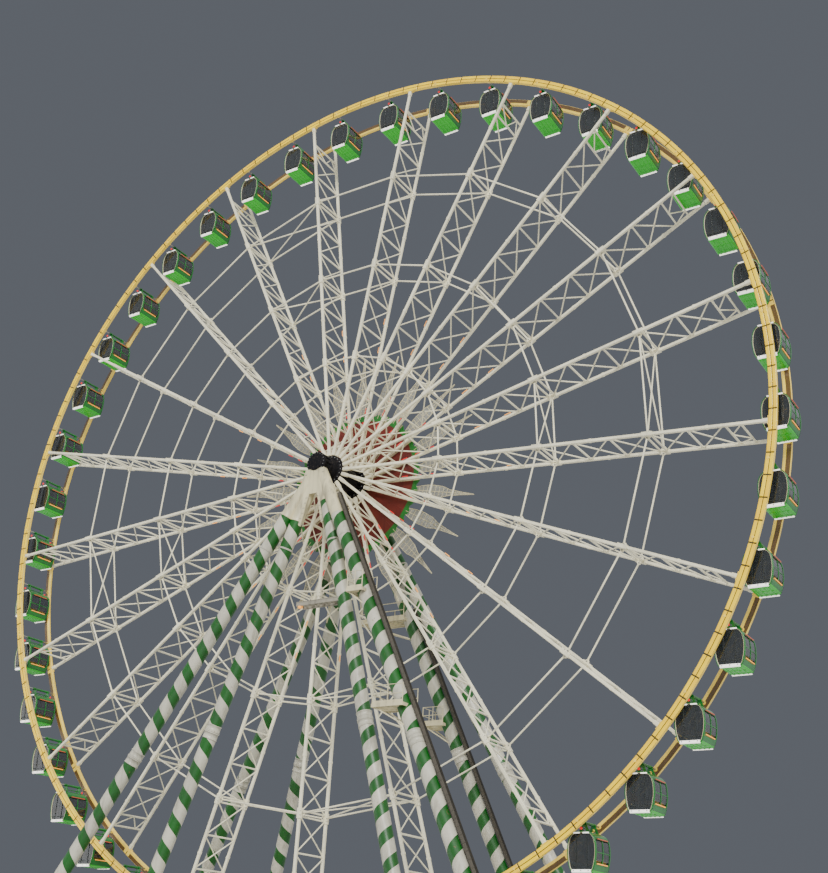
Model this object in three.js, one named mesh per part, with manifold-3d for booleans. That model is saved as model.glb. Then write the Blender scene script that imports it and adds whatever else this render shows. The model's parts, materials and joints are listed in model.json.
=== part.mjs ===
import * as THREE from "three";
import { mergeVertices } from "three/addons/utils/BufferGeometryUtils.js";
import Module from "manifold-3d";

const wasm = await Module();
wasm.setup();

// Real sizes in millimetres. The whole wheel is then made at half size.
const modelScale = 0.5;
const touchGap = 0.6;
const runningGap = 1;

// Wheel
const axleHeight = 31650;
const spokeCount = 21;
const bayAngle = (2 * Math.PI) / spokeCount;
const firstSpokeAngle = THREE.MathUtils.degToRad(63.66);
const rimRadius = 28070;
const rimDepth = 450;
const rimWidth = 200;
const rimOffset = 1310;
const rimSides = 42;

// Spokes, each a ladder of two chords that carry rungs between them
const chordWidth = 200;
const chordOffsetAtHub = 1240;
const chordOffsetAtRim = 1305;
const rungWidth = 110;
const rungRadii = [10203, 16843, 23395, 26380];
const spokesPerNode = 7;
const hubRingDepth = 250;
const tieWidth = 120;
const tieRadii = [21270, 14630, 7990];
const tieRungsPerRing = 3;

// Hub
const hubRadius = 999.4;
const hubBarrelRadius = 700;
const journalRadius = 455;
const axleLength = 5700;
const hubSides = 42;

// Star of pointed leaves round the back of the hub
const starTipRadius = 9500;
const starLeafRadius = 7000;
const starLeafAngle = THREE.MathUtils.degToRad(4.6);
const starValleyRadius = 5000;
const starThickness = 60;
const starOffset = 1530;

// Cabins
const cabinCount = 42;
const pivotRadius = 28000;
const pivotPinRadius = 55;
const pinSides = 6;
const cabinLength = 1800;
const cabinOutline = [
  [540, -2420],
  [650, -2230],
  [790, -1500],
  [690, -780],
  [420, -480],
  [130, -430],
  [130, 80],
];
const cabinHollow = [
  [575, -2190],
  [705, -1500],
  [560, -680],
];

// Stand
const legRadius = 420;
const legSides = 10;
const flangeRadius = 460;
const flangeThickness = 60;
const legTopDepth = 5500;
const frontOuterFoot = [16970, 7190];
const frontInnerFoot = [10330, 4600];
const backOuterFoot = [16720, 6270];
const backInnerFoot = [11060, 8850];
const legTopOffset = 2300;
const headInnerFace = 1900;
const headOuterFace = 2800;
const headRadius = 700;
const headSides = 18;
const gussetOffset = 2750;
const gussetThickness = 90;

// Base frame
const beamWidth = 500;
const beamHeight = 400;
const padSize = 2200;

// Service platforms on the right legs, each with its height and its two ends from the leg's axis
const frontPlatforms = [
  { height: 15170, left: -1620, right: 330 },
  { height: 22250, left: -760, right: 300 },
];
const backPlatforms = [
  { height: 16370, left: -1470, right: 0 },
  { height: 22880, left: -3380, right: 0 },
];
const platformLength = 1500;
const platformThickness = 180;
const railHeight = 1200;
const railWidth = 60;

// Cable duct beside each leg that carries platforms, and a lamp beam on the front inner right leg
const ductWidth = 260;
const ductStandoff = 480;
const frontDuctTop = 28950;
const backDuctTop = 23400;
const ductBracketHeights = [3000, 8000, 13000, 18500, 23000];
const lampBeam = { height: 22260, length: 3200, width: 800, depth: 250 };

const creamPaint = new THREE.MeshStandardMaterial({ color: 0xe9e4d0, roughness: 0.45, metalness: 0.1 });
const rimPanel = new THREE.MeshStandardMaterial({ color: 0xf4e28c, roughness: 0.4, metalness: 0.05 });
const greenPaint = new THREE.MeshStandardMaterial({ color: 0x1f8a2e, roughness: 0.4, metalness: 0.1 });
const redPanel = new THREE.MeshStandardMaterial({ color: 0x9c1f14, roughness: 0.5, metalness: 0.05 });
const stripedPaint = new THREE.MeshStandardMaterial({ color: 0xdfe6d2, roughness: 0.45, metalness: 0.1 });
const axleSteel = new THREE.MeshStandardMaterial({ color: 0x3a3d40, roughness: 0.5, metalness: 0.8 });
const galvanisedSteel = new THREE.MeshStandardMaterial({ color: 0x8d9296, roughness: 0.55, metalness: 0.7 });

const up = new THREE.Vector3(0, 0, 1);
const axleDirection = new THREE.Vector3(0, 1, 0);

// Turns a closed geometry into a solid that can be added and cut
function solidOf(geometry) {
  const plain = geometry.clone();
  plain.deleteAttribute("normal");
  plain.deleteAttribute("uv");
  const merged = mergeVertices(plain, 1e-3);
  return new wasm.Manifold(
    new wasm.Mesh({
      numProp: 3,
      vertProperties: new Float32Array(merged.attributes.position.array),
      triVerts: new Uint32Array(merged.index.array),
    }),
  );
}

function sumOf(solids) {
  return solids.reduce((whole, piece) => whole.add(piece));
}

function meshOf(name, solid, material) {
  const mesh = solid.getMesh();
  const geometry = new THREE.BufferGeometry();
  geometry.setAttribute("position", new THREE.BufferAttribute(mesh.vertProperties, 3));
  geometry.setIndex(new THREE.BufferAttribute(mesh.triVerts, 1));
  geometry.computeVertexNormals();
  const made = new THREE.Mesh(geometry, material);
  made.name = name;
  return made;
}

// Places a geometry made along Y so that it runs between two points
function placedBetween(geometry, from, to, facing) {
  const along = to.clone().sub(from).normalize();
  const across = new THREE.Vector3().crossVectors(along, facing).normalize();
  const square = new THREE.Vector3().crossVectors(across, along);
  const place = new THREE.Matrix4().makeBasis(across, along, square);
  place.setPosition(from.clone().add(to).multiplyScalar(0.5));
  return geometry.applyMatrix4(place);
}

function bar(from, to, width, depth, facing) {
  const box = new THREE.BoxGeometry(width, from.distanceTo(to), depth);
  return solidOf(placedBetween(box, from, to, facing));
}

function tube(from, to, radius, sides, endRadius = radius) {
  const cylinder = new THREE.CylinderGeometry(endRadius, radius, from.distanceTo(to), sides);
  const facing = Math.abs(to.z - from.z) > 1 ? axleDirection : up;
  return solidOf(placedBetween(cylinder, from, to, facing));
}

// A round bar on the axle's line, with a corner halfway between those of a tube's
function turnedTube(fromY, toY, radius, sides) {
  const cylinder = new THREE.CylinderGeometry(radius, radius, toY - fromY, sides);
  cylinder.rotateY(Math.PI / sides);
  cylinder.translate(0, (fromY + toY) / 2, 0);
  return solidOf(cylinder);
}

// A disc round the axle with a corner at every spoke
function disc(fromY, toY, radius) {
  const profile = [
    new THREE.Vector2(0, fromY),
    new THREE.Vector2(radius, fromY),
    new THREE.Vector2(radius, toY),
    new THREE.Vector2(0, toY),
  ];
  return solidOf(new THREE.LatheGeometry(profile, hubSides, Math.PI / 2 - firstSpokeAngle));
}

function box(centre, size) {
  const geometry = new THREE.BoxGeometry(size.x, size.y, size.z);
  geometry.translate(centre.x, centre.y, centre.z);
  return solidOf(geometry);
}

// A flat plate drawn in the wheel's plane, from one distance along the axle to another
function plate(shape, fromY, toY) {
  const geometry = new THREE.ExtrudeGeometry(shape, { depth: toY - fromY, bevelEnabled: false });
  geometry.rotateX(Math.PI / 2);
  geometry.translate(0, toY, 0);
  return solidOf(geometry);
}

// A point of the wheel by its distance from the axle, its angle and its place along the axle
function wheelPoint(radius, angle, y) {
  return new THREE.Vector3(radius * Math.cos(angle), y, radius * Math.sin(angle));
}

function spokeAngle(index) {
  return firstSpokeAngle + index * bayAngle;
}

function cabinAngle(index) {
  return firstSpokeAngle + (index + 0.5) * (bayAngle / 2);
}

function chordOffset(radius) {
  const share = (radius - hubRadius) / (rimRadius - hubRadius);
  return chordOffsetAtHub + share * (chordOffsetAtRim - chordOffsetAtHub);
}

// Rim of box section, bored for the pins of the cabins
function rim(name, side) {
  const inner = rimRadius - rimDepth / 2;
  const outer = rimRadius + rimDepth / 2;
  const near = side * rimOffset - rimWidth / 2;
  const far = side * rimOffset + rimWidth / 2;
  const profile = [
    new THREE.Vector2(inner, near),
    new THREE.Vector2(outer, near),
    new THREE.Vector2(outer, far),
    new THREE.Vector2(inner, far),
    new THREE.Vector2(inner, near),
  ];
  const start = Math.PI / 2 - firstSpokeAngle;
  let ring = solidOf(new THREE.LatheGeometry(profile, rimSides, start));
  for (let index = 0; index < cabinCount; index += 1) {
    const from = wheelPoint(pivotRadius, cabinAngle(index), near - 50);
    const to = wheelPoint(pivotRadius, cabinAngle(index), far + 50);
    const holeRadius = pivotPinRadius + runningGap;
    ring = ring.subtract(tube(from, to, holeRadius / Math.cos(Math.PI / pinSides), pinSides));
  }
  return meshOf(name, ring, rimPanel);
}

// Ring plate at the hub that carries the chords of one group of spokes
function hubRingSector(firstIndex, side) {
  const inner = hubRadius + touchGap;
  const outer = inner + hubRingDepth;
  const margin = touchGap / inner;
  const start = spokeAngle(firstIndex) - bayAngle / 2 + margin;
  const end = spokeAngle(firstIndex + spokesPerNode - 1) + bayAngle / 2 - margin;
  const steps = spokesPerNode * 2;
  const points = [];
  for (let step = 0; step <= steps; step += 1) {
    const angle = start + ((end - start) * step) / steps;
    points.push(new THREE.Vector2(outer * Math.cos(angle), outer * Math.sin(angle)));
  }
  for (let step = steps; step >= 0; step -= 1) {
    const angle = start + ((end - start) * step) / steps;
    points.push(new THREE.Vector2(inner * Math.cos(angle), inner * Math.sin(angle)));
  }
  const middle = side * chordOffsetAtHub;
  return plate(new THREE.Shape(points), middle - chordWidth / 2, middle + chordWidth / 2);
}

// One spoke lies in the plane of the axle and its own radius
function spoke(index) {
  const angle = spokeAngle(index);
  const tangent = wheelPoint(1, angle + Math.PI / 2, 0);
  const start = hubRadius + hubRingDepth / 2;
  const end = rimRadius - rimDepth / 2 - (chordWidth / 2) * Math.tan(Math.PI / rimSides) - touchGap;
  const pieces = [-1, 1].map((side) =>
    bar(
      wheelPoint(start, angle, side * chordOffset(start)),
      wheelPoint(end, angle, side * chordOffset(end)),
      chordWidth,
      chordWidth,
      tangent,
    ),
  );
  for (const radius of rungRadii) {
    const reach = chordOffset(radius);
    pieces.push(
      bar(wheelPoint(radius, angle, -reach), wheelPoint(radius, angle, reach), rungWidth, rungWidth, tangent),
    );
  }
  return sumOf(pieces);
}

function spokeGroup(name, firstIndex) {
  const pieces = [hubRingSector(firstIndex, -1), hubRingSector(firstIndex, 1)];
  for (let index = firstIndex; index < firstIndex + spokesPerNode; index += 1) pieces.push(spoke(index));
  return meshOf(name, sumOf(pieces), creamPaint);
}

// Two many-sided hoops just inside the chords, held apart by rungs
function tieRing(name, radius) {
  const offset = chordOffset(radius) - chordWidth / 2 - touchGap - tieWidth / 2 - 0.2;
  const inner = radius - tieWidth / 2;
  const outer = radius + tieWidth / 2;
  const start = Math.PI / 2 - firstSpokeAngle;
  const hoops = [-1, 1].map((side) => {
    const profile = [
      new THREE.Vector2(inner, side * offset - tieWidth / 2),
      new THREE.Vector2(outer, side * offset - tieWidth / 2),
      new THREE.Vector2(outer, side * offset + tieWidth / 2),
      new THREE.Vector2(inner, side * offset + tieWidth / 2),
      new THREE.Vector2(inner, side * offset - tieWidth / 2),
    ];
    return solidOf(new THREE.LatheGeometry(profile, spokeCount, start));
  });
  const rungs = [];
  for (let index = 0; index < tieRungsPerRing; index += 1) {
    const angle = spokeAngle((index * spokeCount) / tieRungsPerRing);
    const tangent = wheelPoint(1, angle + Math.PI / 2, 0);
    rungs.push(
      bar(wheelPoint(radius, angle, -offset), wheelPoint(radius, angle, offset), rungWidth, rungWidth, tangent),
    );
  }
  return meshOf(name, sumOf([...hoops, ...rungs]), creamPaint);
}

// Barrel with two thick flanges on a long axle that turns in the heads
function hub() {
  const flangeSpan = chordWidth / 2 + 10;
  const flanges = [
    [-chordOffsetAtHub - flangeSpan, -chordOffsetAtHub + flangeSpan],
    [chordOffsetAtHub - flangeSpan, starOffset + starThickness],
  ].map(([from, to]) => disc(from, to, hubRadius));
  const barrel = turnedTube(-headInnerFace + 20, headInnerFace - 20, hubBarrelRadius, headSides);
  const axle = turnedTube(-axleLength / 2, axleLength / 2, journalRadius, headSides);
  return meshOf("hub", sumOf([...flanges, barrel, axle]), axleSteel);
}

// Star plate whose leaves point between the spokes
function starOrnament() {
  const points = [];
  for (let index = 0; index < spokeCount; index += 1) {
    const middle = spokeAngle(index) + bayAngle / 2;
    const corners = [
      [starValleyRadius, middle - bayAngle / 2],
      [starLeafRadius, middle - starLeafAngle],
      [starTipRadius, middle],
      [starLeafRadius, middle + starLeafAngle],
    ];
    for (const [radius, angle] of corners) {
      points.push(new THREE.Vector2(radius * Math.cos(angle), radius * Math.sin(angle)));
    }
  }
  const solid = plate(new THREE.Shape(points), starOffset - starThickness / 2, starOffset + starThickness / 2);
  const eye = disc(starOffset - starThickness, starOffset + starThickness, hubRadius + touchGap);
  return meshOf("star_ornament", solid.subtract(eye), redPanel);
}

function mirroredShape(rightHalf) {
  const right = rightHalf.map(([x, z]) => new THREE.Vector2(x, z));
  const left = rightHalf.map(([x, z]) => new THREE.Vector2(-x, z)).reverse();
  return new THREE.Shape([...right, ...left]);
}

// Barrel-shaped cabin, open at both ends, hung from a pin that runs from rim to rim
function cabin(index) {
  const end = cabinLength / 2;
  const shell = plate(mirroredShape(cabinOutline), -end, end);
  const room = plate(mirroredShape(cabinHollow), -end - 100, end + 100);
  const reach = rimOffset + rimWidth / 2 + 30;
  const pin = turnedTube(-reach, reach, pivotPinRadius, pinSides);
  const number = String(index + 1).padStart(2, "0");
  const made = meshOf("cabin_" + number, shell.subtract(room).add(pin), greenPaint);
  made.position.copy(wheelPoint(pivotRadius, cabinAngle(index), 0));
  return made;
}

// A leg's axis runs from a point beside the axle to its foot
function legLine(foot, sideX, sideY) {
  const top = new THREE.Vector3(0, sideY * legTopOffset, axleHeight);
  const bottom = new THREE.Vector3(sideX * foot[0], sideY * foot[1], beamHeight);
  const atHeight = (height) => top.clone().lerp(bottom, (top.z - height) / (top.z - bottom.z));
  return { top, bottom, atHeight };
}

function legShaft(line) {
  const top = line.atHeight(axleHeight - legTopDepth);
  const along = line.bottom.clone().sub(top).normalize();
  const below = line.bottom.clone().addScaledVector(along, 100);
  const shaft = tube(below, top, legRadius, legSides);
  const flange = tube(top.clone().addScaledVector(along, flangeThickness), top, flangeRadius, legSides);
  return shaft.add(flange);
}

// An outer and an inner leg that stand on one sole of two pads and a beam
function legPair(name, outer, inner, extras) {
  const level = beamHeight / 2;
  const feet = [outer, inner].map((line) => new THREE.Vector3(line.bottom.x, line.bottom.y, level));
  const pads = feet.map((foot) => box(foot, new THREE.Vector3(padSize, padSize, beamHeight)));
  const beam = bar(feet[0], feet[1], beamWidth, beamHeight, up);
  return meshOf(name, sumOf([...pads, beam, legShaft(outer), legShaft(inner), ...extras]), stripedPaint);
}

// Square duct held off the outer side of a leg by short brackets
function duct(line, topHeight) {
  const along = line.bottom.clone().sub(line.top).normalize();
  const sideways = new THREE.Vector3().crossVectors(along, axleDirection).normalize();
  const offset = (distance) => sideways.clone().multiplyScalar(distance);
  const middle = offset(ductStandoff + ductWidth / 2);
  const top = line.atHeight(topHeight).add(middle);
  const foot = line.atHeight(beamHeight * 0.75).add(middle);
  const brackets = ductBracketHeights.map((height) => {
    const from = line.atHeight(height).add(offset(legRadius / 2));
    const to = line.atHeight(height).add(middle);
    return bar(from, to, ductWidth / 2, ductWidth / 2, along);
  });
  return sumOf([bar(foot, top, ductWidth, ductWidth, axleDirection), ...brackets]);
}

// Level beam that reaches from a leg's axis towards the middle
function beamOnLeg(line) {
  const centre = line.atHeight(lampBeam.height).add(new THREE.Vector3(-lampBeam.length / 2, 0, 0));
  return box(centre, new THREE.Vector3(lampBeam.length, lampBeam.width, lampBeam.depth));
}

// Walkway floor across a leg, with a railing on its open sides
function platform(line, { height, left, right }) {
  const width = right - left;
  const centre = line.atHeight(height).add(new THREE.Vector3((left + right) / 2, 0, 0));
  const floor = box(centre, new THREE.Vector3(width, platformLength, platformThickness));
  const halfX = width / 2 - railWidth / 2;
  const halfY = platformLength / 2 - railWidth / 2;
  const corner = (x, y, z) => centre.clone().add(new THREE.Vector3(x * halfX, y * halfY, z));
  const post = (x, y) => bar(corner(x, y, 0), corner(x, y, railHeight), railWidth, railWidth, axleDirection);
  const rail = (from, to) => bar(from, to, railWidth, railWidth, up);
  const top = railHeight - railWidth / 2;
  return sumOf([
    floor,
    post(-1, -1),
    post(-1, 1),
    post(1, -1),
    post(1, 1),
    rail(corner(-1, -1, top), corner(1, -1, top)),
    rail(corner(-1, 1, top), corner(1, 1, top)),
    rail(corner(-1, -1, top), corner(-1, 1, top)),
  ]);
}

// Bearing head: a bored housing, the upper ends of four legs and a gusset between them
function head(name, sideY, lines) {
  const near = new THREE.Vector3(0, sideY * headInnerFace, axleHeight);
  const far = new THREE.Vector3(0, sideY * headOuterFace, axleHeight);
  const pieces = [tube(near, far, headRadius, headSides)];
  for (const line of lines) {
    const end = line.atHeight(axleHeight - legTopDepth);
    const along = line.bottom.clone().sub(line.top).normalize();
    const stop = end.clone().addScaledVector(along, -touchGap);
    pieces.push(tube(line.top, stop, legRadius * 0.8, legSides, legRadius));
    pieces.push(tube(stop.clone().addScaledVector(along, -flangeThickness), stop, flangeRadius, legSides));
  }
  const gusset = new THREE.Shape([
    new THREE.Vector2(-700, axleHeight - 500),
    new THREE.Vector2(-2050, axleHeight - 3900),
    new THREE.Vector2(-1250, axleHeight - 3900),
    new THREE.Vector2(-500, axleHeight - 2300),
    new THREE.Vector2(500, axleHeight - 2300),
    new THREE.Vector2(1250, axleHeight - 3900),
    new THREE.Vector2(2050, axleHeight - 3900),
    new THREE.Vector2(700, axleHeight - 500),
  ]);
  const middle = sideY * gussetOffset;
  pieces.push(plate(gusset, middle - gussetThickness / 2, middle + gussetThickness / 2));
  const bore = tube(
    new THREE.Vector3(0, sideY * (headInnerFace - 400), axleHeight),
    new THREE.Vector3(0, sideY * (headOuterFace + 400), axleHeight),
    (journalRadius + runningGap) / Math.cos(Math.PI / headSides),
    headSides,
  );
  return meshOf(name, sumOf(pieces).subtract(bore), creamPaint);
}

// Ground beams that hold the four soles apart
function baseFrame() {
  const level = beamHeight / 2;
  const padReach = padSize / 2 + touchGap;
  const crossBeam = (side, frontFoot, backFoot) => {
    const x = (side * (frontFoot[0] + backFoot[0])) / 2;
    const length = frontFoot[1] + backFoot[1] - 2 * padReach;
    const y = (backFoot[1] - frontFoot[1]) / 2;
    return box(new THREE.Vector3(x, y, level), new THREE.Vector3(beamWidth, length, beamHeight));
  };
  const pieces = [-1, 1].flatMap((side) => [
    crossBeam(side, frontInnerFoot, backInnerFoot),
    crossBeam(side, frontOuterFoot, backOuterFoot),
  ]);
  const span = frontOuterFoot[0] + backOuterFoot[0];
  pieces.push(box(new THREE.Vector3(0, 0, level), new THREE.Vector3(span, beamWidth, beamHeight)));
  return meshOf("base_frame", sumOf(pieces), galvanisedSteel);
}

function wheel() {
  const group = new THREE.Group();
  group.name = "wheel";
  group.add(hub());
  group.add(rim("front_rim", -1));
  group.add(rim("back_rim", 1));
  group.add(spokeGroup("spokes_a", 0));
  group.add(spokeGroup("spokes_b", spokesPerNode));
  group.add(spokeGroup("spokes_c", 2 * spokesPerNode));
  group.add(tieRing("outer_tie_ring", tieRadii[0]));
  group.add(tieRing("middle_tie_ring", tieRadii[1]));
  group.add(tieRing("inner_tie_ring", tieRadii[2]));
  group.add(starOrnament());
  for (let index = 0; index < cabinCount; index += 1) group.add(cabin(index));
  group.position.z = axleHeight;
  return group;
}

function stand() {
  const group = new THREE.Group();
  group.name = "stand";
  const frontLegs = (sideX) => [
    legLine(frontOuterFoot, sideX, -1),
    legLine(frontInnerFoot, sideX, -1),
  ];
  const backLegs = (sideX) => [
    legLine(backOuterFoot, sideX, 1),
    legLine(backInnerFoot, sideX, 1),
  ];
  const fittings = (line, ductTop, platforms) => {
    return [duct(line, ductTop), ...platforms.map((place) => platform(line, place))];
  };
  const [frontLeft, frontRight, backLeft, backRight] = [
    frontLegs(-1),
    frontLegs(1),
    backLegs(-1),
    backLegs(1),
  ];
  group.add(legPair("front_left_legs", ...frontLeft, []));
  const frontFittings = [...fittings(frontRight[0], frontDuctTop, frontPlatforms), beamOnLeg(frontRight[1])];
  const backFittings = fittings(backRight[1], backDuctTop, backPlatforms);
  group.add(legPair("front_right_legs", ...frontRight, frontFittings));
  group.add(legPair("back_left_legs", ...backLeft, []));
  group.add(legPair("back_right_legs", ...backRight, backFittings));
  group.add(head("front_head", -1, [...frontLeft, ...frontRight]));
  group.add(head("back_head", 1, [...backLeft, ...backRight]));
  group.add(baseFrame());
  return group;
}

const ferrisWheel = new THREE.Group();
ferrisWheel.name = "ferris_wheel";
ferrisWheel.add(stand());
ferrisWheel.add(wheel());
ferrisWheel.scale.setScalar(modelScale);

// The origin is the middle of the ground the stand covers
const frontReach = Math.max(frontOuterFoot[1], frontInnerFoot[1]);
const backReach = Math.max(backOuterFoot[1], backInnerFoot[1]);
ferrisWheel.position.y = ((frontReach - backReach) / 2) * modelScale;

export default ferrisWheel;
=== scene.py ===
import json
import math

import bpy
from mathutils import Matrix, Vector

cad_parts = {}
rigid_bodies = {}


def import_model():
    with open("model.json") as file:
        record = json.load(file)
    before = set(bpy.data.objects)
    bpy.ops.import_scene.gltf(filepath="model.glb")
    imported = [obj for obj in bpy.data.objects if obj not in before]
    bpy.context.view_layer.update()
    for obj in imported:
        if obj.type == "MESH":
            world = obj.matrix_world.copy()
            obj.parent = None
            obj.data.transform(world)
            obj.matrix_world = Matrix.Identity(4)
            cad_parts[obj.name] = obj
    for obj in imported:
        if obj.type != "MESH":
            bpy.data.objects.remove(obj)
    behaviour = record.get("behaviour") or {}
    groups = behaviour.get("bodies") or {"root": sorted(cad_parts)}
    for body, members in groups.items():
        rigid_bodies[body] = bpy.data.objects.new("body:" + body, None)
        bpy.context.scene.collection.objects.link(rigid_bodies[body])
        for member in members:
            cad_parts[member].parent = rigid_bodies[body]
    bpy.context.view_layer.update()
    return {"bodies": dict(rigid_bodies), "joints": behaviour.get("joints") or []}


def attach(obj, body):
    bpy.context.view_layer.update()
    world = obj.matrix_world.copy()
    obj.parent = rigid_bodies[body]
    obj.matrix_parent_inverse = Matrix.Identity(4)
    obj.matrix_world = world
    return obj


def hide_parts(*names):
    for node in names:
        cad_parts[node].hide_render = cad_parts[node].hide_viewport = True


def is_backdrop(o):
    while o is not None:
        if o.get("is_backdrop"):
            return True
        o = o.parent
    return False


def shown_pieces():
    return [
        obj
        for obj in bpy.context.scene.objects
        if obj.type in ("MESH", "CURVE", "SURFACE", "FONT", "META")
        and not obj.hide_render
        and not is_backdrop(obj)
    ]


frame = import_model()

# places come from the frame; everything below is in real metres, and the model is half that
modelScale = 0.5
joints = {joint["name"]: joint for joint in frame["joints"]}
axle = Vector(joints["wheel_spin"]["pos_m"])
axleHeight = axle.z / modelScale
ground = Vector((0, axle.y, 0))
cabinNames = sorted(name for name in frame["bodies"] if name.startswith("cabin_"))
cabinPlaces = {name: Vector(joints[name + "_swing"]["pos_m"]) for name in cabinNames}

wheel = {"spokes": 21, "firstSpokeDeg": 63.66, "rimInner": 27.845, "rimOuter": 28.285,
         "chordStart": 1.0, "chordEnd": 28.07, "chordAtHub": 1.24, "chordAtRim": 1.305}
bayAngle = 2 * math.pi / wheel["spokes"]
firstSpoke = math.radians(wheel["firstSpokeDeg"])
spokeAngles = [firstSpoke + i * bayAngle for i in range(wheel["spokes"])]
east, across, up = Vector((1, 0, 0)), Vector((0, 1, 0)), Vector((0, 0, 1))
both = (-1, 1)


def vec(x, y, z):
    return Vector((x, y, z))


def mixOf(a, b, share):
    return a + (b - a) * share


def ends(middle, reach):
    return middle - reach, middle + reach


def rectangle(right, top, left=None, low=None):
    left, low = -right if left is None else left, -top if low is None else low
    return [(left, low), (right, low), (right, top), (left, top)]


def wheelPoint(radius, angle, y=0.0):
    return vec(radius * math.cos(angle), y, radius * math.sin(angle))


# the way round the wheel, and the way out from its middle
def wheelAxes(angle):
    return wheelPoint(1, angle + math.pi / 2), wheelPoint(1, angle)


def chordY(radius):
    share = (radius - wheel["chordStart"]) / (wheel["chordEnd"] - wheel["chordStart"])
    return mixOf(wheel["chordAtHub"], wheel["chordAtRim"], share)


# a direction that isn't along the given one
def offLine(direction):
    return up if abs(direction.z) < 0.9 else across


# three directions for something that runs from a to b and faces a given way
def axesOf(a, b, facing):
    along = (b - a).normalized()
    side = along.cross(facing)
    if side.length < 1e-6:
        side = along.cross(east)
    side.normalize()
    return side, along, side.cross(along)


# points and faces of one piece, each face with its finish: the main one unless the call names another
class Shape:
    def __init__(self, main):
        self.main, self.points, self.faces, self.finishes, self.rounds = main, [], [], [], []

    def add(self, points, faces, finish=None, smooth=False):
        start = len(self.points)
        self.points.extend(Vector(p) for p in points)
        self.faces.extend(tuple(start + i for i in face) for face in faces)
        self.finishes.extend([finish or self.main] * len(faces))
        self.rounds.extend([smooth] * len(faces))

    # rings of equal length joined one to the next, with both ends filled
    def skin(self, rings, finish=None, smooth=False, closed=True, filled=True):
        count = len(rings[0])
        faces = []
        for low in range(0, (len(rings) - 1) * count, count):
            high = low + count
            for i in range(count if closed else count - 1):
                j = (i + 1) % count
                faces.append((low + i, low + j, high + j, high + i))
        self.add([p for ring in rings for p in ring], faces, finish, smooth)
        if filled:
            self.add(rings[0] + rings[-1], [range(count - 1, -1, -1), range(count, 2 * count)], finish)

    # square bar with chamfered edges
    def bar(self, a, b, width, depth=None, facing=up, finish=None, chamfer=0.14):
        side, along, front = axesOf(a, b, facing)
        w, d = width / 2, (depth or width) / 2
        c = min(w, d) * 2 * chamfer
        section = [(w - c, -d), (c - w, -d), (-w, c - d), (-w, d - c)]
        section += [(-x, -y) for x, y in section]
        self.skin([[p + side * x + front * y for x, y in section] for p in (a, b)], finish)

    # turned form: the profile holds distances along the line from a to b, and radii
    def turned(self, a, b, profile, sides=16, finish=None, smooth=True):
        side, along, front = axesOf(a, b, offLine((b - a).normalized()))
        spins = [2 * math.pi * i / sides for i in range(sides)]
        self.skin([[a + along * distance + (side * math.cos(t) - front * math.sin(t)) * radius for t in spins]
                   for distance, radius in profile], finish, smooth)

    def tube(self, a, b, radius, sides=10, finish=None):
        self.turned(a, b, [(0, radius), ((b - a).length, radius)], sides, finish)

    # flat plate: an outline in a plane through middle, given thickness
    def plate(self, middle, right, top, outline, thickness, finish=None):
        out = right.cross(top).normalized() * (thickness / 2)
        flat = [middle + right * x + top * y for x, y in outline]
        self.skin([[p - out for p in flat], [p + out for p in flat]], finish)

    # bolt heads round a circle
    def bolts(self, middle, normal, radius, count, size, start=0.0):
        normal = normal.normalized()
        side = normal.cross(offLine(normal)).normalized()
        front = normal.cross(side)
        profile = [(-0.01, size), (size * 0.9, size), (size * 1.2, size * 0.7)]
        for i in range(count):
            t = start + 2 * math.pi * i / count
            foot = middle + (side * math.cos(t) + front * math.sin(t)) * radius
            self.turned(foot, foot + normal, profile, 6, boltSteel, False)


# turns a shape into a Blender object, in the frame's metres
def piece(name, shape, body=None, replaces=(), origin=axle, place=None):
    start = origin if place is None else Vector()
    used = sorted({i for face in shape.faces for i in face})
    order = {old: new for new, old in enumerate(used)}
    finishes = list(dict.fromkeys(shape.finishes))
    mesh = bpy.data.meshes.new(name)
    points = [shape.points[i] * modelScale + start for i in used]
    mesh.from_pydata(points, [], [tuple(order[i] for i in face) for face in shape.faces])
    mesh.polygons.foreach_set("material_index", [finishes.index(finish) for finish in shape.finishes])
    mesh.polygons.foreach_set("use_smooth", shape.rounds)
    for finish in finishes:
        mesh.materials.append(finish)
    mesh.validate()
    mesh.update()
    return settle(name, mesh, body, replaces, place)


# puts a mesh in the scene, on the body that carries it
def settle(name, mesh, body, replaces=(), place=None):
    made = bpy.data.objects.new(name, mesh)
    bpy.context.scene.collection.objects.link(made)
    if place is not None:
        made.location = place
    if body:
        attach(made, body)
    if replaces:
        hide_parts(*replaces)
    return made


# a shader socket that takes part in sums: each operator adds a Math node
class Signal:
    def __init__(self, finish, socket):
        self.finish, self.socket = finish, socket

    def math(self, operation, *others):
        sockets = dict(enumerate((self, *others)))
        return self.finish.node("ShaderNodeMath", {"operation": operation}, sockets)[0]

    def __add__(self, other):
        return self.math("ADD", other)

    def __sub__(self, other):
        return self.math("SUBTRACT", other)

    def __mul__(self, other):
        return self.math("MULTIPLY", other)

    def __truediv__(self, other):
        return self.math("DIVIDE", other)

    def __rsub__(self, other):
        return self * -1 + other

    __radd__, __rmul__ = __add__, __mul__

    def clamp(self):
        return self.math("MINIMUM", 1.0).math("MAXIMUM", 0.0)

    # a soft step from 0 to 1 about an edge
    def above(self, edge, softness):
        return ((self - edge) / softness + 0.5).clamp()

    # distance from the middle of each repeat of 1
    def fold(self):
        return (self.math("FRACT") - 0.5).math("ABSOLUTE")


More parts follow.
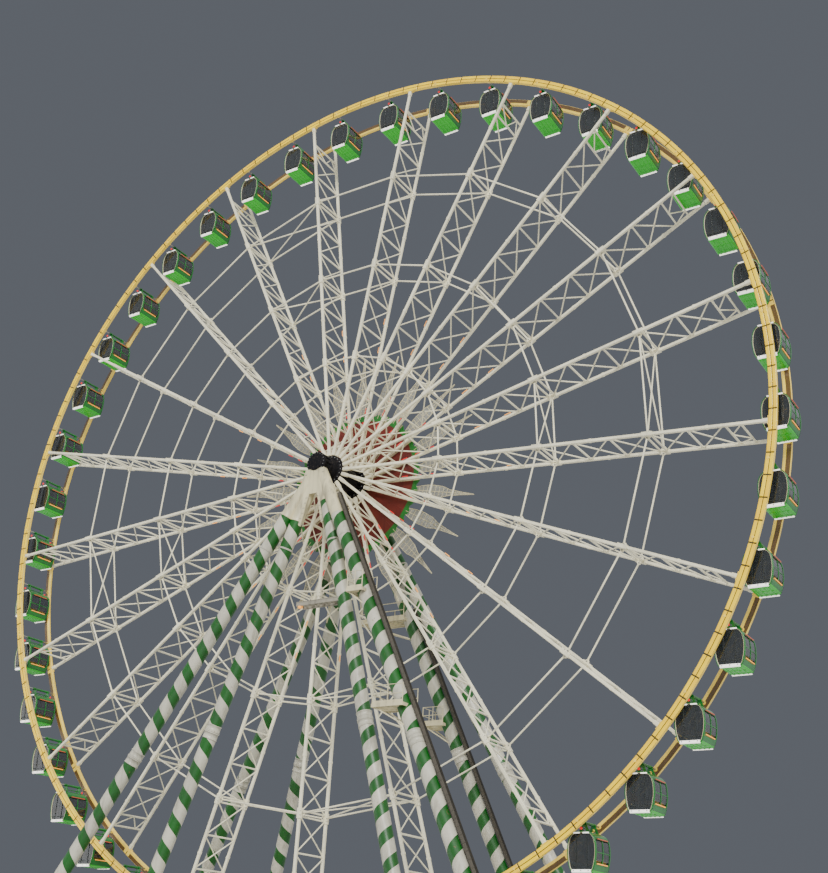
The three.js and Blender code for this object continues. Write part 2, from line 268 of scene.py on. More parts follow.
# one material: nodes are added by a single method, then colour, roughness and bump are joined up
class Finish:
    inputs = {"colour": "Base Color", "roughness": "Roughness", "normal": "Normal", "alpha": "Alpha",
              "glow": "Emission Color"}

    def __init__(self, name):
        self.material = bpy.data.materials.new(name)
        self.material.use_nodes = True
        self.tree = self.material.node_tree
        self.shader = self.tree.nodes["Principled BSDF"]

    def node(self, kind, settings=None, sockets=None):
        made = self.tree.nodes.new(kind)
        for key, value in (settings or {}).items():
            setattr(made, key, value)
        for key, value in (sockets or {}).items():
            self.feed(made.inputs[key], value)
        return [Signal(self, out) for out in made.outputs]

    def feed(self, socket, value):
        if isinstance(value, Signal):
            self.tree.links.new(value.socket, socket)
        elif socket.type == "RGBA":
            socket.default_value = (*value, 1)
        else:
            socket.default_value = value

    def place(self):
        return self.node("ShaderNodeTexCoord")[3]

    def split(self, vector):
        return self.node("ShaderNodeSeparateXYZ", None, {0: vector})

    def noise(self, size, detail=4, vector=None, distortion=0.0):
        sockets = {"Vector": vector or self.place(), "Scale": 1 / size, "Detail": detail}
        return self.node("ShaderNodeTexNoise", None, {**sockets, "Distortion": distortion})[0]

    def blend(self, share, first, second):
        return self.node("ShaderNodeMix", {"data_type": "RGBA"}, {0: share, 6: first, 7: second})[2]

    def stretched(self, vector, scale):
        return self.node("ShaderNodeVectorMath", {"operation": "MULTIPLY"}, {0: vector, 1: scale})[0]

    def bump(self, height, distance, strength):
        sockets = {"Height": height, "Distance": distance, "Strength": strength}
        return self.node("ShaderNodeBump", None, sockets)[0]

    def finish(self, fixed, **fed):
        for key, value in fixed.items():
            self.feed(self.shader.inputs[key], value)
        for key, value in fed.items():
            self.feed(self.shader.inputs[self.inputs[key]], value)
        return self.material


def shaded(colour, share):
    return tuple(c * share for c in colour)


# painted steel: mottled colour, rain streaks that run down, chips of primer and a fine orange peel; a glow,
# where one is given, is painted light
def paintedSteel(name, colour, dirt=(0.12, 0.10, 0.075), grime=0.35, gloss=0.35, glow=0.0, chips=0.0):
    f = Finish(name)
    place = f.place()
    cloud = f.noise(1.1, 5, place)
    speckle = f.noise(0.035, 3, place)
    streak = f.noise(1.0, 5, f.stretched(place, (9.0, 9.0, 0.6)))
    tint = f.blend(cloud.above(0.5, 0.5), colour, shaded(colour, 0.72))
    dirty = (streak.above(0.56, 0.22) * grime * cloud.above(0.46, 0.3)).clamp()
    tint = f.blend(dirty, tint, dirt)
    if chips:
        worn = f.noise(0.09, 6, place, 0.6).above(0.70, 0.03) * chips
        tint = f.blend(worn, tint, (0.19, 0.085, 0.04))
    rough = gloss + cloud * 0.12 + dirty * 0.35
    normal = f.bump(speckle * 0.6 + cloud * 0.4, 0.004, 0.35)
    fixed = {"Coat Weight": 0.15, "Coat Roughness": 0.25}
    fed = {"colour": tint, "roughness": rough.clamp(), "normal": normal}
    if glow:
        fixed["Emission Strength"] = glow
        fed["glow"] = tint
    return f.finish(fixed, **fed)


# light panels of the rims: each panel has its own tone, and is paler along its middle
def panelFinish(name, colour, deep, glow):
    f = Finish(name)
    x, z = f.split(f.place())[::2]
    flatX, flatZ = x / modelScale, (z - axle.z) / modelScale
    angle = (flatZ.math("ARCTAN2", flatX) - firstSpoke) / bayAngle * rim["panelsPerBay"] - rim["shift"]
    radius = (flatX * flatX + flatZ * flatZ).math("SQRT")
    count = angle.math("FLOOR") * 3.0 + radius.math("GREATER_THAN", rim["middle"]) * 1.7
    tone = f.node("ShaderNodeTexWhiteNoise", {"noise_dimensions": "1D"}, {"W": count})[0]
    hot = 1 - angle.fold() * 1.6
    cloud = f.noise(0.16, 4)
    share = (tone * 0.45 + (1 - hot) * 0.35 + cloud * 0.3).clamp()
    tint = f.blend(share, colour, deep)
    normal = f.bump(f.noise(0.02, 2), 0.002, 0.25)
    fixed = {"Emission Strength": glow, "Coat Weight": 0.3, "Coat Roughness": 0.15}
    return f.finish(fixed, colour=tint, roughness=0.34 + cloud * 0.2, normal=normal, glow=tint)


def lampFinish(name, colour, deep, glow):
    f = Finish(name)
    cells = f.noise(0.05, 2)
    tint = f.blend(cells.above(0.5, 0.4), colour, deep)
    normal = f.bump(cells, 0.002, 0.3)
    rough = 0.3 + cells * 0.15
    return f.finish({"Emission Strength": glow}, colour=tint, roughness=rough, normal=normal, glow=tint)


def bareSteel(name, colour, roughness):
    f = Finish(name)
    place = f.place()
    brushed = f.noise(0.05, 4, f.stretched(place, (1.0, 6.0, 1.0)))
    cloud = f.noise(0.6, 5, place)
    tint = f.blend(cloud.above(0.52, 0.5), colour, shaded(colour, 0.62))
    tint = f.blend(brushed.above(0.62, 0.2) * 0.4, tint, (0.16, 0.12, 0.09))
    rough = (roughness + brushed * 0.15 + cloud * 0.1).clamp()
    return f.finish({"Metallic": 0.85}, colour=tint, roughness=rough, normal=f.bump(brushed, 0.003, 0.4))


# zinc coating with its spangle
def zincFinish(name):
    f = Finish(name)
    place = f.place()
    cells = f.node("ShaderNodeTexVoronoi", None, {"Vector": place, "Scale": 22.0})[1]
    shade = f.split(cells)[0]
    cloud = f.noise(0.8, 5, place)
    tint = f.blend((shade * 0.5 + cloud * 0.5).clamp(), (0.36, 0.37, 0.38), (0.55, 0.56, 0.57))
    rough = 0.38 + shade * 0.25
    return f.finish({"Metallic": 0.7}, colour=tint, roughness=rough, normal=f.bump(cloud, 0.004, 0.4))


# tinted cabin glass, with faint vertical wipe marks
def glassFinish(name, colour, seeThrough):
    f = Finish(name)
    marks = f.noise(0.25, 4, f.stretched(f.place(), (3.0, 3.0, 0.5)))
    tint = f.blend(marks.above(0.55, 0.3) * 0.4, colour, (0.05, 0.055, 0.055))
    veil = (1 - seeThrough) + marks.above(0.58, 0.25) * 0.10
    fixed = {"IOR": 1.5, "Specular IOR Level": 0.7, "Coat Weight": 0.4, "Coat Roughness": 0.03}
    return f.finish(fixed, colour=tint, roughness=0.05 + marks * 0.08, alpha=veil.clamp())


# moulded plastic
def seatFinish(name, colour):
    f = Finish(name)
    fine = f.noise(0.01, 2)
    cloud = f.noise(0.2, 4)
    tint = f.blend(cloud.above(0.5, 0.5), colour, shaded(colour, 0.7))
    return f.finish({}, colour=tint, roughness=0.42 + cloud * 0.15, normal=f.bump(fine, 0.002, 0.4))


# pale star leaves: a stiff netting with a diamond weave over grey sheet
def leafFinish(name):
    f = Finish(name)
    x, z = f.split(f.place())[::2]
    diagonal, other = (x + z) * 7.0, (x - z) * 7.0
    cord = 1 - diagonal.fold().math("MINIMUM", other.fold()).above(0.07, 0.05)
    cloud = f.noise(0.4, 5)
    tint = f.blend(cloud, (0.30, 0.30, 0.27), (0.50, 0.49, 0.43))
    tint = f.blend(cord * 0.6, tint, (0.12, 0.12, 0.10))
    veil = 0.55 + cord * 0.45
    return f.finish({}, colour=tint, roughness=0.6 + cloud * 0.2, normal=f.bump(cord, 0.006, 0.5), alpha=veil)


def floorFinish(name):
    f = Finish(name)
    cloud = f.noise(3.0, 4)
    tint = f.blend(cloud, (0.62, 0.62, 0.61), (0.68, 0.68, 0.67))
    return f.finish({}, colour=tint, roughness=0.75 + cloud * 0.1)


# rims: a box between near and far, two rows of light panels, and plates where the spokes and bays meet it
rim = {"near": 1.222, "far": 1.398, "strip": 0.17, "edge": 0.02, "stepsPerBay": 8, "middle": 28.07,
       "panelsPerBay": 7, "shift": 0.5, "gap": 0.075, "rows": ((27.862, 28.047), (28.087, 28.272)),
       "proud": 0.028, "bevel": 0.022, "bevelDeep": 0.012, "meanRadius": 28,
       "seam": (28.279, 27.855), "seamDeep": 0.005, "seamProud": 0.004,
       "bearing": ((0, 0.1), (0.03, 0.12), (0.07, 0.12), (0.08, 0.075)),
       "footAt": 1.31, "footPlate": rectangle(0.24, 0.1), "footBolts": (-0.18, 0.18),
       "splicePlate": rectangle(0.13, 0.17), "spliceAt": 28.065, "spliceTurn": 0.006}

# cream of the spokes and ties: it glows a little, painted light that stands in for the floodlight on them
creamPaintPaintedLight = paintedSteel("creamPaintPaintedLight", (0.92, 0.86, 0.62), grime=0.22, glow=0.14)
ivoryPaint = paintedSteel("ivoryPaint", (0.76, 0.68, 0.42), grime=0.6)
# the rim box's paint glows: painted light that makes the rim read as brightly lit
rimPaintPaintedGlow = paintedSteel("rimPaintPaintedGlow", (0.94, 0.66, 0.09), (0.24, 0.15, 0.06), grime=0.3, glow=0.32)
# the web's dark paint glows faintly: painted light
webPaintPaintedGlow = paintedSteel("webPaintPaintedGlow", (0.15, 0.08, 0.02), (0.05, 0.03, 0.01), grime=0.5, glow=0.06)
jointPaint = paintedSteel("jointPaint", (0.035, 0.028, 0.008), (0.02, 0.015, 0.01), grime=0.3)
rimPanel = panelFinish("rimPanel", (0.90, 0.64, 0.0), (0.72, 0.42, 0.0), 0.45)
greenPaint = paintedSteel("greenPaint", (0.004, 0.19, 0.016), (0.02, 0.07, 0.02), grime=0.4, gloss=0.25)
# green of the cabin pan: lighter than the roof's and glowing, painted light that stands in for the light on
# the cabins' undersides
panGreenPaintedLight = paintedSteel("panGreenPaintedLight", (0.015, 0.50, 0.01), (0.01, 0.14, 0.01), gloss=0.3, glow=0.24)
legGreen = paintedSteel("legGreen", (0.0, 0.10, 0.002), (0.01, 0.04, 0.008), grime=0.5, gloss=0.42, chips=0.5)
legWhite = paintedSteel("legWhite", (0.60, 0.57, 0.45), (0.20, 0.18, 0.12), grime=0.55, chips=0.6)
redPanel = paintedSteel("redPanel", (0.155, 0.010, 0.005), (0.06, 0.01, 0.01), grime=0.5, gloss=0.5)
darkSteel = bareSteel("darkSteel", (0.012, 0.012, 0.015), 0.6)
ductSteel = bareSteel("ductSteel", (0.05, 0.045, 0.035), 0.55)
ductSheet = paintedSteel("ductSheet", (0.08, 0.068, 0.048), grime=0.5, gloss=0.55)
beamPaint = paintedSteel("beamPaint", (0.36, 0.33, 0.25), grime=0.5, gloss=0.5)
frameBlack = seatFinish("frameBlack", (0.03, 0.035, 0.03))
boltSteel = bareSteel("boltSteel", (0.42, 0.42, 0.40), 0.35)
zincSteel = zincFinish("zincSteel")
cabinGlass = glassFinish("cabinGlass", (0.018, 0.022, 0.024), 0.38)
seatShell = seatFinish("seatShell", (0.72, 0.46, 0.10))
floorMat = seatFinish("floorMat", (0.05, 0.05, 0.05))
whiteLamp = lampFinish("whiteLamp", (1.0, 0.97, 0.88), (0.80, 0.78, 0.70), 1.3)
amberLamp = lampFinish("amberLamp", (1.0, 0.44, 0.08), (0.85, 0.30, 0.04), 0.8)
roseLamp = lampFinish("roseLamp", (0.55, 0.11, 0.05), (0.42, 0.07, 0.03), 0.3)
redLamp = lampFinish("redLamp", (0.85, 0.015, 0.010), (0.55, 0.008, 0.006), 0.7)
leafNet = leafFinish("leafNet")
print("finishes made")


# the section goes round in steps; web, panels and the seam between them have finishes of their own
def buildRim(sideY):
    shape = Shape(rimPaintPaintedGlow)
    near, far, c = sideY * rim["near"], sideY * rim["far"], rim["edge"]
    low, high = wheel["rimInner"], wheel["rimOuter"]
    nearEdge, farEdge = near + sideY * c, far - sideY * c
    section = [(low + c, near), (low + rim["strip"], near), (high - c, near), (high, nearEdge),
               (high, farEdge), (high - c, far), (low + c, far), (low, farEdge), (low, nearEdge)]
    seamIn, seamOut = far - sideY * rim["seamDeep"], far + sideY * rim["seamProud"]
    outer, inner = rim["seam"]
    seam = [(outer, seamIn), (outer, seamOut), (inner, seamOut), (inner, seamIn)]
    steps = wheel["spokes"] * rim["stepsPerBay"]
    turns = [firstSpoke + 2 * math.pi * i / steps for i in range(steps)] + [firstSpoke]
    web, rest = section[1:3], section[2:] + section[:2]
    for part, finish, closed in ((web, webPaintPaintedGlow, False), (rest, rimPaintPaintedGlow, False), (seam, jointPaint, True)):
        rings = [[wheelPoint(r, turn, y) for r, y in part[::sideY]] for turn in turns]
        shape.skin(rings, finish, False, closed, False)
    buildPanels(shape, sideY, far)
    for angle in spokeAngles:
        tangent, out = wheelAxes(angle)
        foot = wheelPoint(low - 0.02, angle, sideY * rim["footAt"])
        shape.plate(foot, tangent, across, rim["footPlate"], 0.04)
        for offset in rim["footBolts"]:
            shape.bolts(foot + tangent * offset, -out, 0.045, 2, 0.018)
        for step in both:
            spot = wheelPoint(rim["spliceAt"], angle + step * rim["spliceTurn"], near - sideY * 0.012)
            shape.plate(spot, tangent, out, rim["splicePlate"], 0.02)
    for name in cabinNames:
        place = (cabinPlaces[name] - axle) / modelScale
        inside, outside = place + across * (near - sideY * 0.07), place + across * (far + sideY * 0.05)
        length = (outside - inside).length
        shape.turned(inside, outside, [*rim["bearing"], (length - 0.01, 0.075), (length, 0.06)])
    return shape


def buildPanels(shape, sideY, face):
    top = face + sideY * rim["proud"]
    bevel, mean = rim["bevel"], rim["meanRadius"]
    panelAngle, gap = bayAngle / rim["panelsPerBay"], rim["gap"] / mean
    layers = ((face, 0), (top - sideY * rim["bevelDeep"], 0), (top, bevel))
    for index in range(wheel["spokes"] * rim["panelsPerBay"]):
        start = firstSpoke + (index + rim["shift"]) * panelAngle + gap / 2
        end = start + panelAngle - gap
        for low, high in rim["rows"]:
            loops = []
            for y, b in layers:
                angles = [start + b / mean, (start + end) / 2, end - b / mean]
                loop = [wheelPoint(low + b, a, y) for a in angles]
                loop += [wheelPoint(high - b, a, y) for a in angles[::-1]]
                loops.append(loop[::sideY])
            shape.skin(loops, rimPanel)


for name, sideY in (("front_rim", -1), ("back_rim", 1)):
    piece(name + "_lit", buildRim(sideY), "wheel", [name])
print("rims made")


# spokes: plane ladders with sleeves, rungs, crossed rods, gussets and a braced end frame
spoke = {"chord": 0.17, "start": 1.10, "rung": 0.095, "firstRung": 3.57, "panel": 2.213, "panels": 10,
         "lastRung": 25.55, "endFrame": 26.38, "doubleGap": 0.17, "ties": (7.99, 14.63, 21.27),
         "sleeves": ((0.28, 0.244), (0.30, 0.26)), "joints": (4.7, 11.3, 17.95, 24.6), "jointWide": 0.205,
         "shoe": 0.225, "rod": 0.042, "rodInset": 0.08, "rodShift": 0.033, "rodStart": 1.45,
         "pin": ((0, 0.03), (0.0, 0.055), (0.12, 0.055), (0.12, 0.03)),
         "gusset": ((0, -0.22), (0.20, 0), (0, 0.22)), "frameBar": 0.06, "frameMeets": 0.78}
rungs = [spoke["firstRung"] + spoke["panel"] * i for i in range(spoke["panels"])]
rungs += [spoke["lastRung"], spoke["endFrame"]]
twinRungs = [min(rungs, key=lambda r: abs(r - tie)) for tie in spoke["ties"]]


def buildSpoke(shape, angle):
    tangent, out = wheelAxes(angle)
    end = wheel["rimInner"] - 0.04

    def spot(radius, side, inset=0.0):
        return wheelPoint(radius, angle, side * (chordY(radius) - inset))

    lengths = [(spoke["start"], end, spoke["chord"])]
    for half, wide in spoke["sleeves"]:
        lengths += [(tie - half, tie + half, wide) for tie in spoke["ties"]]
    lengths += [(r - 0.07, r + 0.07, spoke["jointWide"]) for r in spoke["joints"]]
    lengths += [(low, high, spoke["shoe"]) for low, high in ((1.04, 1.5), (end - 0.28, end))]
    for side in both:
        for low, high, wide in lengths:
            shape.bar(spot(low, side), spot(high, side), wide, facing=tangent)
        for tie in spoke["ties"]:
            shape.bolts(spot(tie, side) + tangent * 0.12, tangent, 0.16, 4, 0.022, math.pi / 4)
    for radius in rungs:
        for gap in (-spoke["doubleGap"], spoke["doubleGap"]) if radius in twinRungs else (0.0,):
            a, b = (spot(radius + gap, side, 0.05) for side in both)
            shape.bar(a, b, spoke["rung"], facing=tangent)
    inset = spoke["rodInset"]
    stations = [spoke["rodStart"]] + rungs[:-1]
    for low, high in zip(stations, stations[1:]):
        middle = wheelPoint((low + high) / 2, angle)
        shape.turned(*ends(middle, tangent * 0.06), spoke["pin"], 8, boltSteel)
        for side in both:
            shift = tangent * side * spoke["rodShift"]
            a, b = spot(low + 0.12, side, inset), spot(high - 0.12, -side, inset)
            shape.tube(a + shift, b + shift, spoke["rod"], 6)
            shape.plate(spot(high, side, inset - 0.02), across * -side, out, spoke["gusset"], 0.03)
    low, high = spoke["lastRung"], spoke["endFrame"]
    middle, meet = wheelPoint(low, angle), mixOf(spot(high, -1), spot(high, 1), spoke["frameMeets"])
    for a, b in ((middle, spot(high, -1, inset)), (middle, meet), (spot(low, 1, inset), meet)):
        shape.bar(a, b, spoke["frameBar"], facing=tangent)


for first, letter in ((0, "a"), (7, "b"), (14, "c")):
    shape = Shape(creamPaintPaintedLight)
    for angle in spokeAngles[first:first + 7]:
        buildSpoke(shape, angle)
    piece(f"spokes_{letter}_truss", shape, "wheel", [f"spokes_{letter}"])
print("spokes made")


# tie rings: straight struts from spoke to spoke with forked ends, and crossed rods in the braced bays
tieRing = {"strut": 0.052, "fork": 0.55, "tip": 0.5, "inset": 0.11, "reach": 0.16, "brace": 0.045,
           "bracedBays": (2, 7, 12, 17), "bracedRings": ("outer_tie_ring", "middle_tie_ring"),
           "knot": ((-0.26, -0.07), (-0.12, -0.17), (0.12, -0.17), (0.26, -0.07),
                    (0.26, 0.07), (0.12, 0.17), (-0.12, 0.17), (-0.26, 0.07))}


def buildTie(radius, braced):
    shape = Shape(creamPaintPaintedLight)
    offset = chordY(radius) - tieRing["inset"]
    reach, r = tieRing["reach"], tieRing["strut"]
    fork, tip = r * tieRing["fork"], r * tieRing["tip"]
    for index, angle in enumerate(spokeAngles):
        tangent, out = wheelAxes(angle)
        for side in both:
            y = side * offset
            a, b = wheelPoint(radius, angle, y), wheelPoint(radius, angle + bayAngle, y)
            along, length = (b - a).normalized(), (b - a).length
            shape.turned(a, b, [(0.02, tip), (reach, fork), (reach + 0.1, r), (length - reach - 0.1, r),
                                (length - reach, fork), (length - 0.02, tip)], 8)
            for point in (a + along * reach, b - along * reach):
                shape.turned(*ends(point, across * 0.05), [(0, 0.045), (0.1, 0.045)], 8, boltSteel)
            shape.plate(wheelPoint(radius, angle, y - side * 0.03), tangent, out, tieRing["knot"], 0.03)
            if index in braced:
                b = wheelPoint(radius, angle + bayAngle, -y)
                shape.tube(mixOf(a, b, 0.03), mixOf(a, b, 0.97), tieRing["brace"], 6)
    return shape


for name, radius in zip(("inner_tie_ring", "middle_tie_ring", "outer_tie_ring"), spoke["ties"]):
    braced = tieRing["bracedBays"] if name in tieRing["bracedRings"] else ()
    piece(name + "_struts", buildTie(radius, braced), "wheel", [name])
print("ties made")


# hub: axle, ribbed barrel and two thick flanges with lugs for the chords; profiles are (distance, radius)
hub = {"axle": (2.85, ((0, 0.3185), (0.04, 0.455), (5.66, 0.455), (5.70, 0.3185))),
       "barrel": (1.86, ((0, 0.658), (0.05, 0.70), (3.67, 0.70), (3.72, 0.658))),
       "flangeHalf": 0.12,
       "flange": ((0, 0.6), (0, 0.77), (0.03, 0.80), (0.03, 0.94), (0.06, 0.99), (0.18, 0.99),
                  (0.21, 0.94), (0.21, 0.80), (0.24, 0.77), (0.24, 0.6)),
       "boltRing": 0.87, "rib": ((-0.14, 0.3), (-0.14, -0.13), (0.13, -0.13), (0.13, -0.06)), "ribAt": 0.82}


def buildHub():
    shape = Shape(darkSteel)
    for half, profile in (hub["axle"], hub["barrel"]):
        shape.turned(*ends(Vector(), across * half), profile, 48)
    for side in both:
        middle = side * wheel["chordAtHub"]
        faces = ends(middle, hub["flangeHalf"])
        shape.turned(*(across * y for y in faces), hub["flange"], 63)
        for angle in spokeAngles:
            for face, away in zip(faces, both):
                spot = wheelPoint(hub["boltRing"], angle, face - away * 0.03)
                shape.bolts(spot, across * away, 0.0, 1, 0.04)
            turn = angle + bayAngle / 2
            spot = wheelPoint(hub["ribAt"], turn, middle - side * 0.24)
            shape.plate(spot, wheelPoint(1, turn), across * -side, hub["rib"], 0.03)
    return shape


piece("hub_turned", buildHub(), "wheel", ["hub"])


# star: red sectors with a green toothed edge, and netted leaves on ribs between the spokes
star = {"inner": 1.06, "redOuter": 4.55, "edge": 5.02, "notch": 0.22, "y": 1.53, "ribs": 11, "ribStep": 0.3,
        "thin": (0.035, 0.05), "leaf": ((4.85, 0.22), (5.4, 0.34), (5.95, 0.41), (6.8, 0.37), (7.35, 0.20),
                                        (8.3, 0.08), (9.2, 0.012))}


def leafHalf(radius):
    for (r1, w1), (r2, w2) in zip(star["leaf"], star["leaf"][1:]):
        if radius <= r2:
            return mixOf(w1, w2, (radius - r1) / (r2 - r1))
    return 0.0


def buildStar():
    shape = Shape(ivoryPaint)
    y, half, spine = star["y"], bayAngle / 2, star["leaf"]
    inner, outer, edge = star["inner"], star["redOuter"], star["edge"]
    notch = edge - star["notch"]
    wedge = [(inner, -half), (outer, -half), (outer, half), (inner, half)]
    teeth = [(outer, -half), (edge, -half * 0.9), (notch, -half * 0.5), (edge, 0), (notch, half * 0.5),
             (edge, half * 0.9), (outer, half)]

    def radial(low, high, angle, width, depth, facing, finish=ivoryPaint):
        shape.bar(wheelPoint(low, angle, y), wheelPoint(high, angle, y), width, depth, facing, finish)

    for angle in spokeAngles:
        middle = angle + half
        tangent = wheelPoint(1, middle - math.pi / 2)
        for outline, thick, finish in ((wedge, 0.012, redPanel), (teeth, 0.016, greenPaint)):
            shape.skin([[wheelPoint(r, middle + t * 0.985, y + at) for r, t in outline]
                        for at in (thick, -thick)], finish)
        radial(inner + 0.1, outer - 0.1, middle, 0.05, 0.06, tangent, redPanel)
        loop = [(r, w) for r, w in spine] + [(r, -w) for r, w in spine[::-1]]
        leaf = [[wheelPoint(r, middle, y + at) + tangent * w for r, w in loop] for at in (0.01, -0.01)]
        shape.skin(leaf, leafNet)
        for side in both:
            radial(inner, edge - 0.05, middle + side * half * 0.97, 0.05, 0.07, tangent)
            border = [wheelPoint(r, middle, y) + tangent * w * side for r, w in spine]
            for a, b in zip(border, border[1:]):
                shape.bar(a, b, *star["thin"], across)
        radial(edge - 0.3, spine[-1][0] - 0.3, middle, *star["thin"], across)
        for i in range(star["ribs"]):
            r = edge + 0.1 + i * star["ribStep"]
            shape.bar(*ends(wheelPoint(r, middle, y), tangent * leafHalf(r)), 0.03, 0.045, across)
    return shape


piece("star_leaves", buildStar(), "wheel", ["star_ornament"])


# small lamp bars on the back chords near the hub
chordLamps = {"rows": ((redLamp, (3.9, 4.9, 5.9)), (amberLamp, (9.3, 11.4))), "length": 0.40, "inset": 0.08,
              "proud": 0.125, "thick": 0.05}


# a lamp bar from a to b with a shorter holder behind it
def lampBar(shape, a, b, back, sizes, holder=None):
    shape.bar(a, b, *sizes)
    holder = holder or (*sizes[:3], boltSteel)
    shape.bar(mixOf(a, b, 0.2) - back, mixOf(a, b, 0.8) - back, *holder)


def buildSpokeLamps():
    shape = Shape(boltSteel)
    thick = chordLamps["thick"]
    for angle in spokeAngles:
        tangent, out = wheelAxes(angle)
        for lamp, radii in chordLamps["rows"]:
            for radius in radii:
                spot = wheelPoint(radius, angle, chordY(radius) - chordLamps["inset"])
                a = spot + tangent * chordLamps["proud"]
                b = a + out * chordLamps["length"]
                lampBar(shape, a, b, tangent * thick, (thick, thick, tangent, lamp))
    return shape


piece("spoke_lamps", buildSpokeLamps(), "wheel")
print("hub and star made")


# cabins: a barrel-shaped body of pan, roof, ribs and glass, measured from the pin that it hangs from
cabin = {
    "half": 0.88, "floor": -3, "top": 0, "panEdge": -2.30, "panTop": -1.98, "roofEdge": -0.80, "waist": -1.45,
    "skin": 0.035, "glass": 0.014, "frame": 0.05, "trim": 0.022, "mullions": (-0.29, 0.29), "railAt": -2.10,
    "outline": ((0, -2.42), (0.34, -2.42), (0.52, -2.405), (0.60, -2.33), (0.665, -2.18), (0.735, -1.88),
                (0.775, -1.55), (0.775, -1.30), (0.75, -1.02), (0.675, -0.76), (0.55, -0.585), (0.40, -0.495),
                (0.2, -0.45), (0, -0.44)),
    "panRibs": (-0.36, -0.12, 0.12, 0.36), "panBeams": (-0.6, 0, 0.6),
}


# a smooth line through the outline's points, from the floor's middle to the roof's middle
def smoothLine(points, steps=3):
    line = []
    for i in range(len(points) - 1):
        p0, p1, p2, p3 = (Vector(points[max(0, min(len(points) - 1, i + k))]) for k in (-1, 0, 1, 2))
        for step in range(steps):
            t = step / steps
            line.append(0.5 * (2 * p1 + (p2 - p0) * t + (2 * p0 - 5 * p1 + 4 * p2 - p3) * t * t
                               + (3 * p1 - p0 - 3 * p2 + p3) * t ** 3))
    line.append(Vector(points[-1]))
    return line


cabinCurve = smoothLine(cabin["outline"])


# the part of the outline between two heights, set in by some depth
def cabinLine(low, high, inset=0.0, side=1):
    rows = [p for p in cabinCurve if low <= p.y <= high]
    found = []
    for i, p in enumerate(rows):
        run = (rows[min(len(rows) - 1, i + 1)] - rows[max(0, i - 1)]).normalized()
        found.append(Vector(((p.x - run.y * inset) * side, p.y + run.x * inset)))
    return found


def mirrored(line):
    return [Vector((-p.x, p.y)) for p in line][::-1]


def wholeLine(inset=0.0):
    right = cabinLine(cabin["floor"], cabin["top"], inset)
    return right + mirrored(right[1:-1])


# a line of the end view, placed at one or more distances along the cabin
def drawn(line, places):
    return [[vec(p.x, y, p.y) for p in line] for y in places]


# a sheet bent along one side of the cabin
def bentSheet(shape, span, depths, side, places, smooth=True):
    outer, inner = (cabinLine(*span, depth, side) for depth in depths)
    shape.skin(drawn(outer + inner[::-1], places[::-side]), None, smooth)


def widthAt(z):
    return min(cabinCurve, key=lambda p: abs(p.y - z)).x


def heightAt(x, upper):
    line = [p for p in cabinCurve if (p.y > -1.4) == upper]
    return min(line, key=lambda p: abs(p.x - x)).y


# pan and roof, each one bent sheet that runs over the middle, and the ribs under the pan; the pan and its
# ribs take a lighter green that glows, painted light on the cabin's underside
def panAndRoof(shape):
    half, skin = cabin["half"], cabin["skin"]
    for low, high, finish in ((cabin["floor"], cabin["panEdge"], panGreenPaintedLight),
                              (cabin["roofEdge"], cabin["top"], greenPaint)):
        lines = [cabinLine(low, high, inset) for inset in (0, skin)]
        if low == cabin["floor"]:
            outer, inner = (mirrored(line) + line[1:] for line in lines)
        else:
            outer, inner = (line + mirrored(line)[1:] for line in lines)
        rings = drawn(outer + inner[::-1], (-half, half))
        shape.skin(rings[::-1], finish, True, True, False)
        last = len(rings[0]) - 1
        for ring, way in zip(rings, (1, -1)):
            faces = [(i, i + 1, last - 1 - i, last - i)[::way] for i in range(len(outer) - 1)]
            shape.add(ring, faces, finish)
    for side in both:
        bentSheet(shape, (cabin["panEdge"] - 0.03, cabin["panTop"]), (0.0, skin), side, (-half, half))
    for x in cabin["panRibs"]:
        shape.bar(*ends(vec(x, 0, -2.425), across * (half - 0.06)), 0.05, 0.03, up, panGreenPaintedLight)
    for y in cabin["panBeams"]:
        shape.bar(*ends(vec(0, y, -2.42), east * 0.5), 0.05, 0.03, up, panGreenPaintedLight)


# the two end frames, each a flat ring with a door frame and a middle rail inside it
def frameRings(shape):
    half, width = cabin["half"], cabin["frame"]
    for side in both:
        near, far = side * (half - 0.05), side * (half + 0.022)
        for start, end, top, finish in ((0.0, width, far, greenPaint),
                                        (width, width + cabin["trim"], far - side * 0.004, ivoryPaint)):
            outer, inner = wholeLine(start), wholeLine(end)
            loops = [drawn(line, (y,))[0] for line, y in
                     ((inner, near), (outer, near), (outer, top), (inner, top), (inner, near))]
            shape.skin(loops[::-side], finish, True, True, False)
        y = side * (half - 0.01)
        for x in cabin["mullions"]:
            top, bottom = heightAt(abs(x), True) - 0.05, heightAt(abs(x), False) + 0.05
            shape.bar(vec(x, y, bottom), vec(x, y, top), 0.028, 0.04, across, frameBlack)
        z = cabin["railAt"]
        shape.bar(*ends(vec(0, y, z), east * (widthAt(z) - 0.04)), 0.035, 0.04, across, frameBlack)
        shape.tube(*ends(vec(0, y - side * 0.06, -1.5), east * 0.22), 0.014, 8, boltSteel)


def sideRibs(shape):
    half = cabin["half"]
    span = cabin["panTop"] - 0.1, cabin["roofEdge"] + 0.1
    for side in both:
        for y, wide in ((0.045 - half, 0.045), (0.0, 0.03), (half - 0.045, 0.045)):
            bentSheet(shape, span, (-0.008, 0.055), side, (y - wide, y + wide), False)
        for z in (cabin["panTop"], cabin["waist"], cabin["roofEdge"]):
            shape.bar(*ends(vec(side * (widthAt(z) - 0.02), 0, z), across * (half - 0.02)), 0.04, 0.05)


